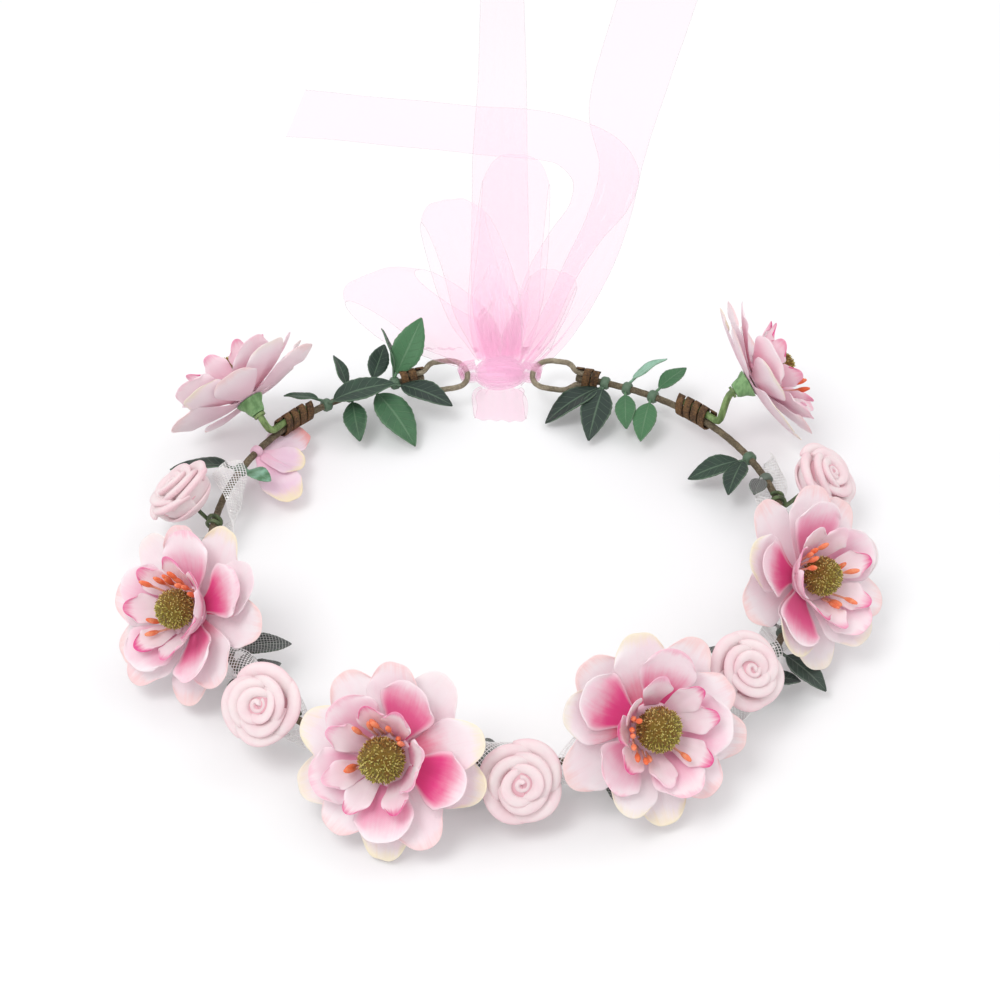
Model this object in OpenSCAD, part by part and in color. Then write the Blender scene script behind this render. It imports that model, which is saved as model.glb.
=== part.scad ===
// Flower crown: a taped wire band with two tie loops, six layered silk flowers,
// five foam roses, leaf whorls, a wound tulle strip and an organza ribbon bow.
// The origin is the centre of the ring at wire height, +Z is up, -Y is the front.

/* [Band] */
// Half width of the wire ring, left to right
band_half_width = 95; // [90:1:100]
// Half depth of the wire ring, front to back
band_half_depth = 92; // [88:1:96]
// Roundness of the ring: 2 is an ellipse, more is squarer
band_roundness = 2.2; // [2:0.1:2.4]
// Thickness of the taped band wire
wire_diameter = 2.4; // [2:0.1:2.8]
// Width of the gap between the two ends of the band at the back
back_gap = 56; // [54:1:64]

/* [Tie loops] */
// Length of a tie loop beyond the end of the band
loop_length = 16; // [14:1:17]
// Width of a tie loop
loop_width = 14; // [12:1:16]
// Thickness of the tie loop wire
loop_wire_diameter = 2; // [1.6:0.1:2.2]
// Length of the loop's legs along the band
loop_leg = 7; // [6:0.5:8]
// Tilt of a tie loop away from upright
loop_tilt = 90; // [75:5:95]

/* [Flowers] */
// Radius of a flower head at its outer petals
flower_radius = 30; // [27:0.5:30.5]
// Radius of the second petal ring
second_radius = 27.5; // [25:0.5:28]
// Length of a middle petal
middle_length = 18; // [15:0.5:19]
// Length of an inner petal
inner_length = 14; // [11:0.5:14.5]
// Width of an outer petal
outer_petal_width = 18.5; // [16:0.5:20]
// Width of a middle petal
middle_petal_width = 16; // [14:0.5:17]
// Width of an inner petal
inner_petal_width = 7; // [5.5:0.5:7.5]
// Lean of the middle petals from flat
middle_lean = 30; // [26:1:34]
// Lean of the inner petals from flat
inner_lean = 42; // [38:1:54]
// Thickness of a petal
petal_thickness = 0.6; // [0.4:0.1:0.8]
// Radius of the fuzzy button in the middle
button_radius = 6.4; // [5.6:0.1:6.6]
// Number of stamens round the button
stamen_count = 8; // [5:1:10]
// Length of a stamen
stamen_length = 8; // [5:0.5:9]
// Length of the calyx below the petals
calyx_length = 5.5; // [5:0.5:6]

/* [Stems and tape] */
// Thickness of a flower's stem
stem_diameter = 2.5; // [2:0.1:2.8]
// Running clearance of the stem's pin in the calyx
pin_clearance = 0.05; // [0.02:0.01:0.1]
// Thickness of a rose's wire
rose_wire_diameter = 1.4; // [1:0.1:1.6]
// Clearance between pieces that lie against each other
seat_gap = 0.3; // [0.2:0.05:0.4]
// Width of the binding tape
tape_width = 2.6; // [2:0.1:3]
// Thickness of the binding tape
tape_thickness = 0.5; // [0.3:0.1:0.6]
// Turns of tape in a binding
tape_turns = 4; // [3:1:5]
// Space between two turns of tape
tape_space = 0.6; // [0.5:0.1:0.8]

/* [Roses] */
// Radius of a rose's outer petals
rose_radius = 11.2; // [10:0.2:11.6]
// Height of a rose at its bud
rose_height = 14; // [12:0.5:15]
// Thickness of a foam petal
foam_thickness = 1; // [0.8:0.1:1.1]

/* [Leaves] */
// Width of a leaf as a share of its length
leaf_slimness = 0.45; // [0.35:0.01:0.5]
// Thickness of a leaf
leaf_thickness = 0.6; // [0.4:0.1:0.8]
// Radius of a leaf's downward bend
leaf_bend = 42; // [35:1:60]
// Length of the collar that threads a whorl on the band
collar_length = 3; // [2:0.5:4]

/* [Tulle] */
// Distance from the wire to the wound tulle
tulle_reach = 6.4; // [6.2:0.1:6.8]
// Width of the tulle strip
tulle_width = 11; // [8:0.5:12]
// Thickness of the tulle strip
tulle_thickness = 0.4; // [0.3:0.1:0.6]

/* [Ribbon] */
// Thickness of the ribbon
ribbon_thickness = 0.5; // [0.3:0.1:0.6]
// Half length of the gathered knot
knot_half_length = 9; // [8:0.5:10]
// Half depth of the gathered knot, front to back
knot_half_depth = 5; // [4.5:0.1:5.5]
// Half height of the gathered knot
knot_half_height = 6; // [5.5:0.1:6.5]

/* [Hidden] */
$fn = 64;
wire_radius = wire_diameter / 2;
stem_radius = stem_diameter / 2;
rose_wire_radius = rose_wire_diameter / 2;
gap_angle = atan(back_gap / 2 / band_half_depth);
band_start = 90 + gap_angle;
band_end = 450 - gap_angle;

// Flowers from back left round the front to back right:
// band angle, distance out, height, axis azimuth, axis elevation, spin, way the stem trails
FLOWERS = [
    [145, 8, 13.5, 132, 32, 10, -1],
    [203, 5, 10.5, 224, 42, 25, -1],
    [252, 9, 9.5, 250, 43, 5, 1],
    [296, 3, 11.5, 294, 42, 30, 1],
    [343, 1.5, 14, 317, 40, 15, 1],
    [398, 12, 15.5, 377, 24, 40, 1]
];
// Roses between them: band angle, distance out, height, axis azimuth, axis elevation, spin
ROSES = [
    [171, 6, 4, 165, 50, 0],
    [228, 4, 6, 240, 46, 50],
    [273.5, 7, 2, 272, 40, 20],
    [317.5, -1.5, 8.5, 306, 50, 80],
    [373.5, 9.5, 5, 345, 50, 35]
];
flower_count = len(FLOWERS);
rose_count = len(ROSES);

// Heights of the hub discs above the calyx, from the outer petals to the button
outer_seat = 0.2;
second_seat = 1.4;
middle_seat = 2.8;
inner_seat = 5.4;
stamen_seat = 6.6;
button_seat = 7.6;
disc_thickness = 1;
middle_disc = 1.8;
spigot_radius = 1.5;
spigot_top = 10.6;
hole_gap = 0.15;
hub_radius = 5;
middle_hub_radius = 6.8;
inner_hub_radius = 8.3;
pin_depth = 4.3;
flange_radius = 2.1;
flange_height = 0.9;
// Depth to which one piece of a solid is let into the next
lap = 0.4;

// Vectors
function unit(v) = v / norm(v);
function mix(a, b, s) = a * (1 - s) + b * s;

// The ring: a superellipse in the wire's plane
function ring_radius(a) =
    pow(pow(abs(cos(a)) / band_half_width, band_roundness)
      + pow(abs(sin(a)) / band_half_depth, band_roundness), -1 / band_roundness);
function ring_point(a) = ring_radius(a) * [cos(a), sin(a), 0];
function ring_tangent(a) = unit(ring_point(a + 0.5) - ring_point(a - 0.5));
function ring_out(a) = let (t = ring_tangent(a)) [t.y, -t.x, 0];
// A point beside the wire: distance from its centre, at a roll from outward to up
function beside(a, reach, roll) =
    ring_point(a) + reach * (cos(roll) * ring_out(a) + sin(roll) * [0, 0, 1]);
function mount_point(row) = ring_point(row[0]) + row[1] * ring_out(row[0]) + [0, 0, row[2]];
function axis_of(row) = [cos(row[4]) * cos(row[3]), cos(row[4]) * sin(row[3]), sin(row[4])];
function degrees_for(length) = length / ((band_half_width + band_half_depth) / 2) * 180 / PI;

// Curves
function bezier(a, b, c, d, s) =
    pow(1 - s, 3) * a + 3 * s * pow(1 - s, 2) * b + 3 * s * s * (1 - s) * c + pow(s, 3) * d;
function spline_point(p, i, s) =
    let (a = p[max(i - 1, 0)], b = p[i], c = p[i + 1], d = p[min(i + 2, len(p) - 1)])
    0.5 * (2 * b + (c - a) * s + (2 * a - 5 * b + 4 * c - d) * s * s + (3 * b - a - 3 * c + d) * s * s * s);
function spline(p, steps) =
    [for (i = [0 : len(p) - 2]) for (k = [0 : steps - 1]) spline_point(p, i, k / steps), p[len(p) - 1]];
function heading(p, i) = unit(p[min(i + 1, len(p) - 1)] - p[max(i - 1, 0)]);

// A closed skin through rings of points, all with the same count
module loft(rings) {
    count = len(rings[0]);
    last = len(rings) - 1;
    points = [for (r = rings) each r];
    walls = [for (i = [0 : last - 1]) for (k = [0 : count - 1])
        let (a = i * count + k, b = i * count + (k + 1) % count)
        each [[a, b + count, b], [a, a + count, b + count]]];
    cap = [for (k = [1 : count - 2]) [0, k, k + 1]];
    far_cap = [for (k = [1 : count - 2]) [last * count, last * count + k + 1, last * count + k]];
    polyhedron(points, concat(walls, cap, far_cap), convexity = 10);
}

// A round tube along a path, with its first side turned as little as it can be
function turned(p, i, side) =
    let (t = heading(p, i), s = unit(side - (side * t) * t))
    i == len(p) - 1 ? [s] : concat([s], turned(p, i + 1, s));
function any_side(t) = abs(t.z) < 0.9 ? cross(t, [0, 0, 1]) : cross(t, [1, 0, 0]);
module tube(p, radius, sides) {
    side = turned(p, 0, any_side(heading(p, 0)));
    loft([for (i = [0 : len(p) - 1])
        let (t = heading(p, i), u = side[i], w = cross(t, u))
        [for (k = [0 : sides - 1])
            p[i] + radius * (cos(360 * k / sides) * u + sin(360 * k / sides) * w)]]);
}

// A flat strip: centre points, the directions of its width, its widths and its thickness
module strip(p, across, widths, thickness) {
    loft([for (i = [0 : len(p) - 1])
        let (t = heading(p, i), u = unit(across[i] - (across[i] * t) * t), w = cross(t, u))
        [for (c = [[1, 1], [-1, 1], [-1, -1], [1, -1]])
            p[i] + c.x * widths[i] / 2 * u + c.y * thickness / 2 * w]]);
}

band_rings = 66;
wire_sides = 8;
module band_wire() {
    color("#6b5a44")
        tube([for (i = [0 : band_rings]) ring_point(mix(band_start, band_end, i / band_rings))],
             wire_radius, wire_sides);
}

// Petals: a cupped shell cut to an outline that widens to a shoulder and ends round
shoulder = 0.62;
petal_steps = [0, 0.15, 0.35, shoulder, 0.76, 0.87, 0.95, 0.99];
function petal_half(s, width, neck) =
    s < shoulder ? neck / 2 + (width - neck) / 2 * sin(90 * s / shoulder)
                 : width / 2 * sqrt(max(0, 1 - pow((s - shoulder) / (1 - shoulder), 2)));
function petal_outline(length, width, neck) = concat(
    [for (s = petal_steps) [s * length, -petal_half(s, width, neck)]],
    [[length, 0]],
    [for (k = [len(petal_steps) - 1 : -1 : 0])
        [petal_steps[k] * length, petal_half(petal_steps[k], width, neck)]]);

petal_dip = 2;
module petal(length, width, neck, bowl) {
    intersection() {
        translate([petal_dip, 0, bowl])
            rotate([90, 0, 0])
                difference() {
                    sphere(bowl);
                    sphere(bowl - petal_thickness);
                }
        translate([0, 0, -1])
            linear_extrude(bowl)
                polygon(petal_outline(length, width, neck));
    }
}

// One die-cut ring of petals on its hub disc, threaded on the calyx's spigot
petal_sink = 0.2;
module petal_ring(count, start, length, width, neck, bowl, lean, disc_radius, disc_height) {
    difference() {
        union() {
            cylinder(r = disc_radius, h = disc_height);
            for (k = [0 : count - 1])
                rotate([0, 0, 360 * k / count])
                    translate([start, 0, disc_height * petal_sink])
                        rotate([0, -lean, 0])
                            petal(length, width, neck, bowl);
        }
        translate([0, 0, -1])
            cylinder(r = spigot_radius + hole_gap, h = disc_height + 3);
    }
}

module on_flower(k) {
    row = FLOWERS[k - 1];
    translate(mount_point(row))
        rotate([0, 90 - row[4], row[3]])
            rotate([0, 0, row[5]])
                children();
}

module flower_calyx(k) {
    bore = stem_radius + pin_clearance;
    wall = 1.1;
    color("#6f9a63")
        on_flower(k)
            rotate_extrude()
                polygon([
                    [bore, -calyx_length], [bore + wall, -calyx_length],
                    [bore + 1.5 * wall, -calyx_length * 0.8], [bore + 2 * wall, -calyx_length * 0.45],
                    [hub_radius - wall / 4, -calyx_length * 0.15], [hub_radius, 0], [spigot_radius, 0],
                    [spigot_radius, spigot_top], [0, spigot_top],
                    [0, pin_depth - calyx_length], [bore, pin_depth - calyx_length]
                ]);
}

// The two outer rings have five petals each, and lie half a petal apart
outer_count = 5;
outer_start = 3.5;
outer_neck = 5;
outer_bowl = 60;
second_lean = 5;
second_width = outer_petal_width - 1;
module flower_outer_petals(k) {
    color("#fbe3ea")
        on_flower(k) {
            translate([0, 0, outer_seat])
                petal_ring(outer_count, outer_start, flower_radius - outer_start, outer_petal_width,
                           outer_neck, outer_bowl, 0, hub_radius, disc_thickness);
            translate([0, 0, second_seat])
                rotate([0, 0, 180 / outer_count])
                    petal_ring(outer_count, outer_start, second_radius - outer_start, second_width,
                               outer_neck, outer_bowl, second_lean, hub_radius, disc_thickness);
        }
}

middle_count = 5;
middle_spin = 18;
middle_bowl = 26;
middle_start = middle_hub_radius - 1;
module flower_middle_petals(k) {
    color("#f58bb5")
        on_flower(k)
            translate([0, 0, middle_seat])
                rotate([0, 0, middle_spin])
                    petal_ring(middle_count, middle_start, middle_length, middle_petal_width,
                               outer_neck, middle_bowl, middle_lean, middle_hub_radius, middle_disc);
}

inner_count = 8;
inner_neck = 3;
inner_bowl = 20;
inner_start = inner_hub_radius - 0.6;
module flower_inner_petals(k) {
    color("#f6a9c6")
        on_flower(k)
            translate([0, 0, inner_seat])
                petal_ring(inner_count, inner_start, inner_length, inner_petal_width,
                           inner_neck, inner_bowl, inner_lean, inner_hub_radius, disc_thickness);
}

stamen_plate = 0.8;
stamen_splay = 20;
button_gap = 0.2;
module flower_stamens(k) {
    thread = 0.45;
    club = 1.7 * thread;
    ring = button_radius + thread + button_gap;
    color("#e8743c")
        on_flower(k)
            translate([0, 0, stamen_seat])
                difference() {
                    union() {
                        cylinder(r = ring + thread, h = stamen_plate);
                        for (s = [0 : stamen_count - 1])
                            rotate([0, 0, 360 * s / stamen_count])
                                translate([ring, 0, stamen_plate / 2])
                                    rotate([0, stamen_splay, 0]) {
                                        cylinder(r = thread, h = stamen_length);
                                        translate([0, 0, stamen_length])
                                            sphere(club);
                                    }
                    }
                    translate([0, 0, -1])
                        cylinder(r = spigot_radius + hole_gap, h = 3);
                }
}

module flower_button(k) {
    middle = button_seat + button_radius * 0.5;
    color("#9a9440")
        on_flower(k)
            difference() {
                translate([0, 0, middle])
                    sphere(button_radius);
                translate([0, 0, button_seat - 10])
                    cylinder(r = 2 * button_radius, h = 10);
                translate([0, 0, button_seat - 1])
                    cylinder(r = spigot_radius + hole_gap, h = spigot_top + seat_gap - button_seat + 1);
            }
}

// A flower's stem: the pin in the calyx, its flange, a bend and a run beside the wire
stem_reach = wire_radius + stem_radius + seat_gap;
stem_bend = 3;
stem_handle = 3.5;
tape_lead = 1;
stem_run = tape_turns * (tape_width + tape_space) + stem_bend;
stem_foot = flange_height + seat_gap;
function stem_roll(row) =
    let (drop = calyx_length + stem_foot + stem_bend,
         foot = mount_point(row) - drop * axis_of(row) - ring_point(row[0]))
    atan2(foot.z, foot * ring_out(row[0]));
function stem_angle(row, along) = row[0] + row[6] * degrees_for(along);
function stem_path(row) =
    let (n = axis_of(row),
         top = mount_point(row) - (calyx_length + stem_foot - lap) * n,
         roll = stem_roll(row),
         low = beside(stem_angle(row, stem_bend), stem_reach, roll),
         t = row[6] * ring_tangent(row[0]))
    concat([for (s = [0 : 7]) bezier(top, top - stem_handle * n, low - stem_handle * t, low, s / 8)],
           [for (s = [0 : 4]) beside(stem_angle(row, stem_bend + stem_run * s / 4), stem_reach, roll)]);

module flower_stem(k) {
    row = FLOWERS[k - 1];
    color("#6f8a4f") {
        on_flower(k)
            translate([0, 0, -calyx_length - stem_foot]) {
                cylinder(r = flange_radius, h = flange_height);
                cylinder(r = stem_radius, h = stem_foot + pin_depth - seat_gap);
            }
        tube(stem_path(row), stem_radius, wire_sides);
    }
}

// Bindings: tape wound round the wire and what lies beside it
tape_pitch = tape_width + tape_space;
tape_slack = 0.5;
loop_turns = 2;
tape_rings = 16;
function winding(turns, start, way, reach, roll, long_half, short_half) =
    [for (i = [0 : turns * tape_rings])
        let (turn = 360 * i / tape_rings,
             a = start + way * degrees_for(tape_width / 2 + tape_pitch * i / tape_rings),
             middle = beside(a, reach, roll),
             u = beside(a, 1, roll) - ring_point(a),
             w = cross(ring_tangent(a), u))
        middle + long_half * cos(turn) * u + short_half * sin(turn) * w];
function stem_winding(row) =
    winding(tape_turns, stem_angle(row, stem_bend + tape_lead), row[6], stem_reach / 2, stem_roll(row),
            stem_radius + wire_radius + seat_gap * 1.5 + tape_thickness / 2 + tape_slack,
            max(stem_radius, wire_radius) + seat_gap + tape_thickness / 2 + tape_slack);
function loop_winding(way) =
    winding(loop_turns, way > 0 ? band_start : band_end, way, 0, 90,
            wire_radius + loop_wire_diameter + 2 * seat_gap + tape_thickness / 2 + tape_slack,
            wire_radius + seat_gap + tape_thickness / 2 + tape_slack);
function self_gap(p) =
    min([for (i = [0 : len(p) - 1 - tape_rings]) norm(p[i + tape_rings] - p[i])]) - tape_width;
module tape_winding(p, start, way) {
    steps = [0 : len(p) - 1];
    across = [for (i = steps) ring_tangent(start + way * degrees_for(tape_pitch * i / tape_rings))];
    strip(p, across, [for (i = steps) tape_width], tape_thickness);
}
module tape_bindings() {
    color("#5a3d22") {
        for (row = FLOWERS)
            tape_winding(stem_winding(row), stem_angle(row, stem_bend + tape_lead), row[6]);
        tape_winding(loop_winding(1), band_start, 1);
        tape_winding(loop_winding(-1), band_end, -1);
    }
    echo(tape_gap_to_itself = self_gap(stem_winding(FLOWERS[0])));
}

// Tie loops: one wire bent to a teardrop, its two legs above and below the band's end
loop_reach = wire_radius + loop_wire_diameter / 2 + seat_gap;
loop_tilt_run = 6;
loop_fullness = 0.62;
loop_rings = 18;
function loop_point(end, way, along, rise) =
    let (t = -way * ring_tangent(end), up = [0, 0, 1], out = ring_out(end),
         lean = min(1, max(0, along / loop_tilt_run)),
         side = cos(loop_tilt * lean) * up + sin(loop_tilt * lean) * out)
    ring_point(end) + along * t + rise * side;
function loop_path(end, way) = concat(
    [for (s = [0 : 2]) beside(end + way * degrees_for(loop_leg * (1 - s / 3)), loop_reach, 90)],
    [for (s = [0 : loop_rings]) let (turn = 360 * s / loop_rings)
        loop_point(end, way, loop_length * (1 - cos(turn)) / 2,
                   loop_reach * cos(turn / 2) + loop_width * loop_fullness * sin(turn) * sin(turn / 2))],
    [for (s = [2 : -1 : 0]) beside(end + way * degrees_for(loop_leg * (1 - s / 3)), loop_reach, -90)]);
module left_tie_loop() {
    color("#857863")
        tube(loop_path(band_start, 1), loop_wire_diameter / 2, wire_sides);
}
module right_tie_loop() {
    color("#857863")
        tube(loop_path(band_end, -1), loop_wire_diameter / 2, wire_sides);
}

// Roses: curled foam petals in three whorls round a bud, on a cupped base
module on_rose(k) {
    row = ROSES[k - 1];
    translate(mount_point(row))
        rotate([0, 90 - row[4], row[3]])
            rotate([0, 0, row[5]])
                children();
}
foam_steps = 3;
foam_tuck = 2.4;
foam_foot = 2;
foam_arch = 0.95;
whorl_step = 2 * foam_thickness + 1.2;
rose_base = 3.2;
rose_socket = 2;
rose_neck = 3.5;
bud_radius = 0.7;
bud_span = 310;
// Whorls from the rim in: petals, steps in, drop from the bud's top, lip, span, drift, turn
WHORLS = [
    [5, 0, 3, 0.6, 98, 1, 0],
    [4, 1, 1.5, 0.4, 116, 0.9, 0],
    [3, 2, 0.5, 0.3, 146, 0.8, 40]
];
function foam_wall(radius, height, lip) =
    let (line = [for (s = [0 : foam_steps])
            [radius - foam_tuck * pow(1 - s / foam_steps, 2) + lip * pow(s / foam_steps, 3),
             foam_foot + (height - foam_foot) * s / foam_steps]])
    concat(line, [for (s = [foam_steps : -1 : 0]) line[s] - [foam_thickness, 0]]);
module foam_petal(radius, height, lip, span, drift) {
    crown = radius * foam_arch;
    translate([0, drift, 0])
        intersection() {
            rotate([0, 0, -span / 2])
                rotate_extrude(angle = span)
                    polygon(foam_wall(radius, height, lip));
            translate([0, 0, height - crown])
                rotate([0, 90, 0])
                    cylinder(r = crown, h = 2 * radius);
        }
}
module whorl(row) {
    for (k = [0 : row[0] - 1])
        rotate([0, 0, row[6] + 360 * k / row[0]])
            foam_petal(rose_radius - row[1] * whorl_step, rose_height - row[2], row[3], row[4], row[5]);
}
module rose(k) {
    hole = rose_wire_radius + hole_gap;
    color("#fbdde2")
        on_rose(k) {
            rotate_extrude()
                polygon([
                    [hole, 0], [rose_neck, 0], [rose_radius * 0.62, rose_base * 0.45],
                    [rose_radius * 0.8, rose_base], [0, rose_base], [0, rose_socket], [hole, rose_socket]
                ]);
            for (row = WHORLS)
                whorl(row);
            rotate_extrude(angle = bud_span)
                translate([bud_radius, (rose_base + rose_socket) / 2])
                    square([foam_thickness, rose_height - rose_base]);
        }
}

// A rose's wire: from its base to the band, then twisted round it
rose_twist = 1.5;
rose_twist_pitch = 2.4;
rose_twist_lead = 60;
rose_handle = 2;
rose_reach = wire_radius + rose_wire_radius + seat_gap;
function rose_roll(row) =
    let (foot = mount_point(row) - rose_handle * axis_of(row) - ring_point(row[0]))
    atan2(foot.z, foot * ring_out(row[0]));
function twist_point(row, turn) =
    beside(row[0] + degrees_for(rose_twist_pitch * turn / 360), rose_reach,
           rose_roll(row) - rose_twist_lead + turn);
function rose_path(row) =
    let (n = axis_of(row),
         top = mount_point(row) + (rose_socket - seat_gap) * n,
         base = mount_point(row) - rose_wire_radius * n,
         low = twist_point(row, 0),
         away = unit(low - twist_point(row, 20)))
    concat([top],
           [for (s = [0 : 5]) bezier(base, base - rose_handle * n, low + rose_handle * away, low, s / 6)],
           [for (turn = [0 : 22.5 : 360 * rose_twist]) twist_point(row, turn)]);
module rose_stems() {
    color("#6f8a4f")
        for (row = ROSES)
            tube(rose_path(row), rose_wire_radius, 6);
}

// Leaf whorls threaded on the band: distance from the band's end, then for each leaf its
// azimuth, elevation, twist and length
LEFT_WHORLS = [
    [10.6, [[42, 56, 40, 21], [100, 62, 80, 16], [-20, 2, 0, 20]]],
    [18.8, [[70, 30, 20, 14], [-55, -2, 0, 24]]],
    [27.7, [[110, 35, 40, 12], [-80, -6, 10, 16]]],
    [36.7, [[15, 22, 0, 22], [175, 12, 20, 12]]],
    [80, [[175, 8, 20, 20], [-45, 20, 0, 12]]]
];
RIGHT_WHORLS = [
    [10.6, [[205, -6, 10, 22], [-105, -4, 0, 21]]],
    [18.8, [[30, 28, -30, 14], [-92, -6, 10, 14]]],
    [28.6, [[-105, -6, 10, 16], [40, 20, 0, 13]]],
    [73.4, [[-170, -6, 0, 18], [-115, 5, 20, 16]]]
];
// The front whorls stand at band angles
FRONT_WHORLS = [
    [209, [[8, 10, 0, 16]]],
    [215, [[96, -14, 0, 11], [40, -14, 0, 11], [276, 8, 0, 11]]],
    [246, [[-130, -6, 0, 18], [180, -14, 0, 14]]],
    [267, [[84, -14, 0, 11]]],
    [270, [[204, -14, 0, 12], [0, 20, 0, 12]]],
    [290, [[-80, -6, 0, 14], [192, -14, 0, 11]]],
    [325, [[144, 8, 0, 14], [12, -14, 0, 11]]],
    [332, [[-40, -8, 0, 16]]],
    [337, [[180, 45, 0, 11]]],
    [364, [[0, -4, 0, 17]]],
    [381, [[252, 20, 0, 11]]]
];
collar_wall = 0.8;
collar_radius = wire_radius + seat_gap + collar_wall;
petiole_radius = 0.6;
petiole_length = 4;
petiole_lap = 2;

module leaf(length) {
    width = length * leaf_slimness;
    arc = (length * length + width * width) / (4 * width);
    rotate([0, 90, 0])
        cylinder(r = petiole_radius, h = petiole_length);
    translate([petiole_length - petiole_lap, 0, leaf_thickness / 2])
        intersection() {
            translate([0, 0, -leaf_bend])
                rotate([90, 0, 0])
                    difference() {
                        cylinder(r = leaf_bend, h = 2 * width, center = true, $fn = 96);
                        cylinder(r = leaf_bend - leaf_thickness, h = 3 * width, center = true, $fn = 96);
                    }
            translate([length / 2, arc - width / 2, -length])
                cylinder(r = arc, h = 2 * length, $fn = 96);
            translate([length / 2, width / 2 - arc, -length])
                cylinder(r = arc, h = 2 * length, $fn = 96);
        }
}

// A collar threaded on the band at an angle, and a blade's place on it
module collar(a) {
    t = ring_tangent(a);
    module round_wire(radius, length) {
        translate(ring_point(a))
            rotate([0, 90, atan2(t.y, t.x)])
                cylinder(r = radius, h = length, center = true);
    }
    difference() {
        union() {
            round_wire(collar_radius, collar_length);
            children();
        }
        round_wire(wire_radius + seat_gap, 3 * collar_length);
    }
}
module on_collar(a, blade) {
    t = ring_tangent(a);
    way = [cos(blade[1]) * cos(blade[0]), cos(blade[1]) * sin(blade[0]), sin(blade[1])];
    translate(ring_point(a) + (collar_radius - lap) * unit(way - (way * t) * t))
        rotate([0, -blade[1], blade[0]])
            rotate([blade[2], 0, 0])
                children();
}
module whorls(rows) {
    color("#4a6f52")
        for (row = rows)
            collar(row[0])
                for (blade = row[1])
                    on_collar(row[0], blade)
                        leaf(blade[3]);
}
module leaf_spray_left() {
    whorls([for (row = LEFT_WHORLS) [band_start + degrees_for(row[0]), row[1]]]);
}
module leaf_spray_right() {
    whorls([for (row = RIGHT_WHORLS) [band_end - degrees_for(row[0]), row[1]]]);
}
module leaf_spray_front() {
    whorls(FRONT_WHORLS);
}

// Petals tucked under the band beside the first flower: azimuth, elevation, twist and length
TUCKED_PETALS = [
    [48, -14, 0, 22],
    [-10, -16, 0, 15.5],
    [-58, -16, 0, 24]
];
tucked_width = 15;
tucked_offset = 7.5;
module tucked_petals() {
    row = FLOWERS[0];
    a = stem_angle(row, -tucked_offset);
    color("#f7d9e6")
        collar(a)
            for (blade = TUCKED_PETALS)
                on_collar(a, blade)
                    petal(blade[3], tucked_width, outer_neck, outer_bowl);
}

// Tulle: one strip wound round the band, passing on the far side of every stem
tulle_stops = [
    [158, 60],
    [ROSES[0][0], 180 + rose_roll(ROSES[0])],
    [FLOWERS[1][0], 540 + stem_roll(FLOWERS[1])],
    [ROSES[1][0], 900 + rose_roll(ROSES[1])],
    [FLOWERS[2][0], 1260 + stem_roll(FLOWERS[2])],
    [ROSES[2][0], 1620 + rose_roll(ROSES[2])],
    [FLOWERS[3][0], 1980 + stem_roll(FLOWERS[3])],
    [ROSES[3][0], 2340 + rose_roll(ROSES[3])],
    [331, 2680],
    [FLOWERS[4][0], 2700 + stem_roll(FLOWERS[4])],
    [ROSES[4][0], 3060 + rose_roll(ROSES[4])],
    [386, 3250]
];
tulle_start = tulle_stops[0][0];
tulle_end = tulle_stops[len(tulle_stops) - 1][0];
tulle_rings = 108;
function tulle_ring(a) =
    let (roll = lookup(a, tulle_stops),
         turning = lookup(a + 1, tulle_stops) - lookup(a - 1, tulle_stops),
         along = 2 / degrees_for(1),
         around = tulle_reach * turning * PI / 180,
         slope = norm([along, around]))
    [for (c = [[-1, 1], [0, 1], [1, 1], [1, -1], [0, -1], [-1, -1]])
        let (half = c.x * tulle_width / 2)
        beside(a + degrees_for(half * around / slope), tulle_reach + c.y * tulle_thickness / 2,
               roll - half * along / slope / tulle_reach * 180 / PI)];
module tulle_wrap() {
    color("#f4f4f2")
        loft([for (i = [0 : tulle_rings]) tulle_ring(mix(tulle_start, tulle_end, i / tulle_rings))]);
}

// Ribbon: a gathered knot with an ear through each tie loop, bow loops and tails
knot_middle = [0, ring_point(90).y, 0];
knot_rings = 8;
pleats = 7;
pleat_depth = 0.06;
knot_end = 0.1;
knot_bluntness = 0.02;
// A point on the knot's skin or a distance off it: share of its half length, and turn from the back upwards
function knot_point(x, turn, off) =
    let (swell = mix(knot_end, 1, sqrt(1 + knot_bluntness - x * x)),
         r = swell * (1 + pleat_depth * cos(pleats * turn)))
    [x * knot_half_length,
     (knot_half_depth * r + off) * cos(turn),
     (knot_half_height * r + off) * sin(turn)];
module ribbon_knot() {
    color("#ff9fd0") {
        translate(knot_middle)
            loft([for (i = [0 : knot_rings])
                [for (k = [0 : 3 * pleats - 1])
                    knot_point(2 * i / knot_rings - 1, 360 * k / (3 * pleats), 0)]]);
        ribbon_ear(band_start, 1);
        ribbon_ear(band_end, -1);
    }
}
// The ribbon goes round the tip of a tie loop and back into the knot
ear_gap = 1.6;
ear_radius = loop_wire_diameter / 2 + ear_gap;
ear_width = 5;
ear_lead = 1.5;
module ribbon_ear(end, way) {
    t = -way * ring_tangent(end);
    side = cos(loop_tilt) * [0, 0, 1] + sin(loop_tilt) * ring_out(end);
    over = cross(t, side);
    tip = ring_point(end) + loop_length * t;
    inside = abs(tip.x) - knot_half_length + lap;
    arc = [for (a = [0 : 22.5 : 180]) [-ear_radius * sin(a), cos(a)]];
    path = concat([[inside, 1], [ear_lead, 1]], arc, [[ear_lead, -1], [inside, -1]]);
    p = [for (c = path) tip + c.x * t + c.y * ear_radius * over];
    strip(p, [for (c = path) side], [for (c = path) ear_width], ribbon_thickness);
}

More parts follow.
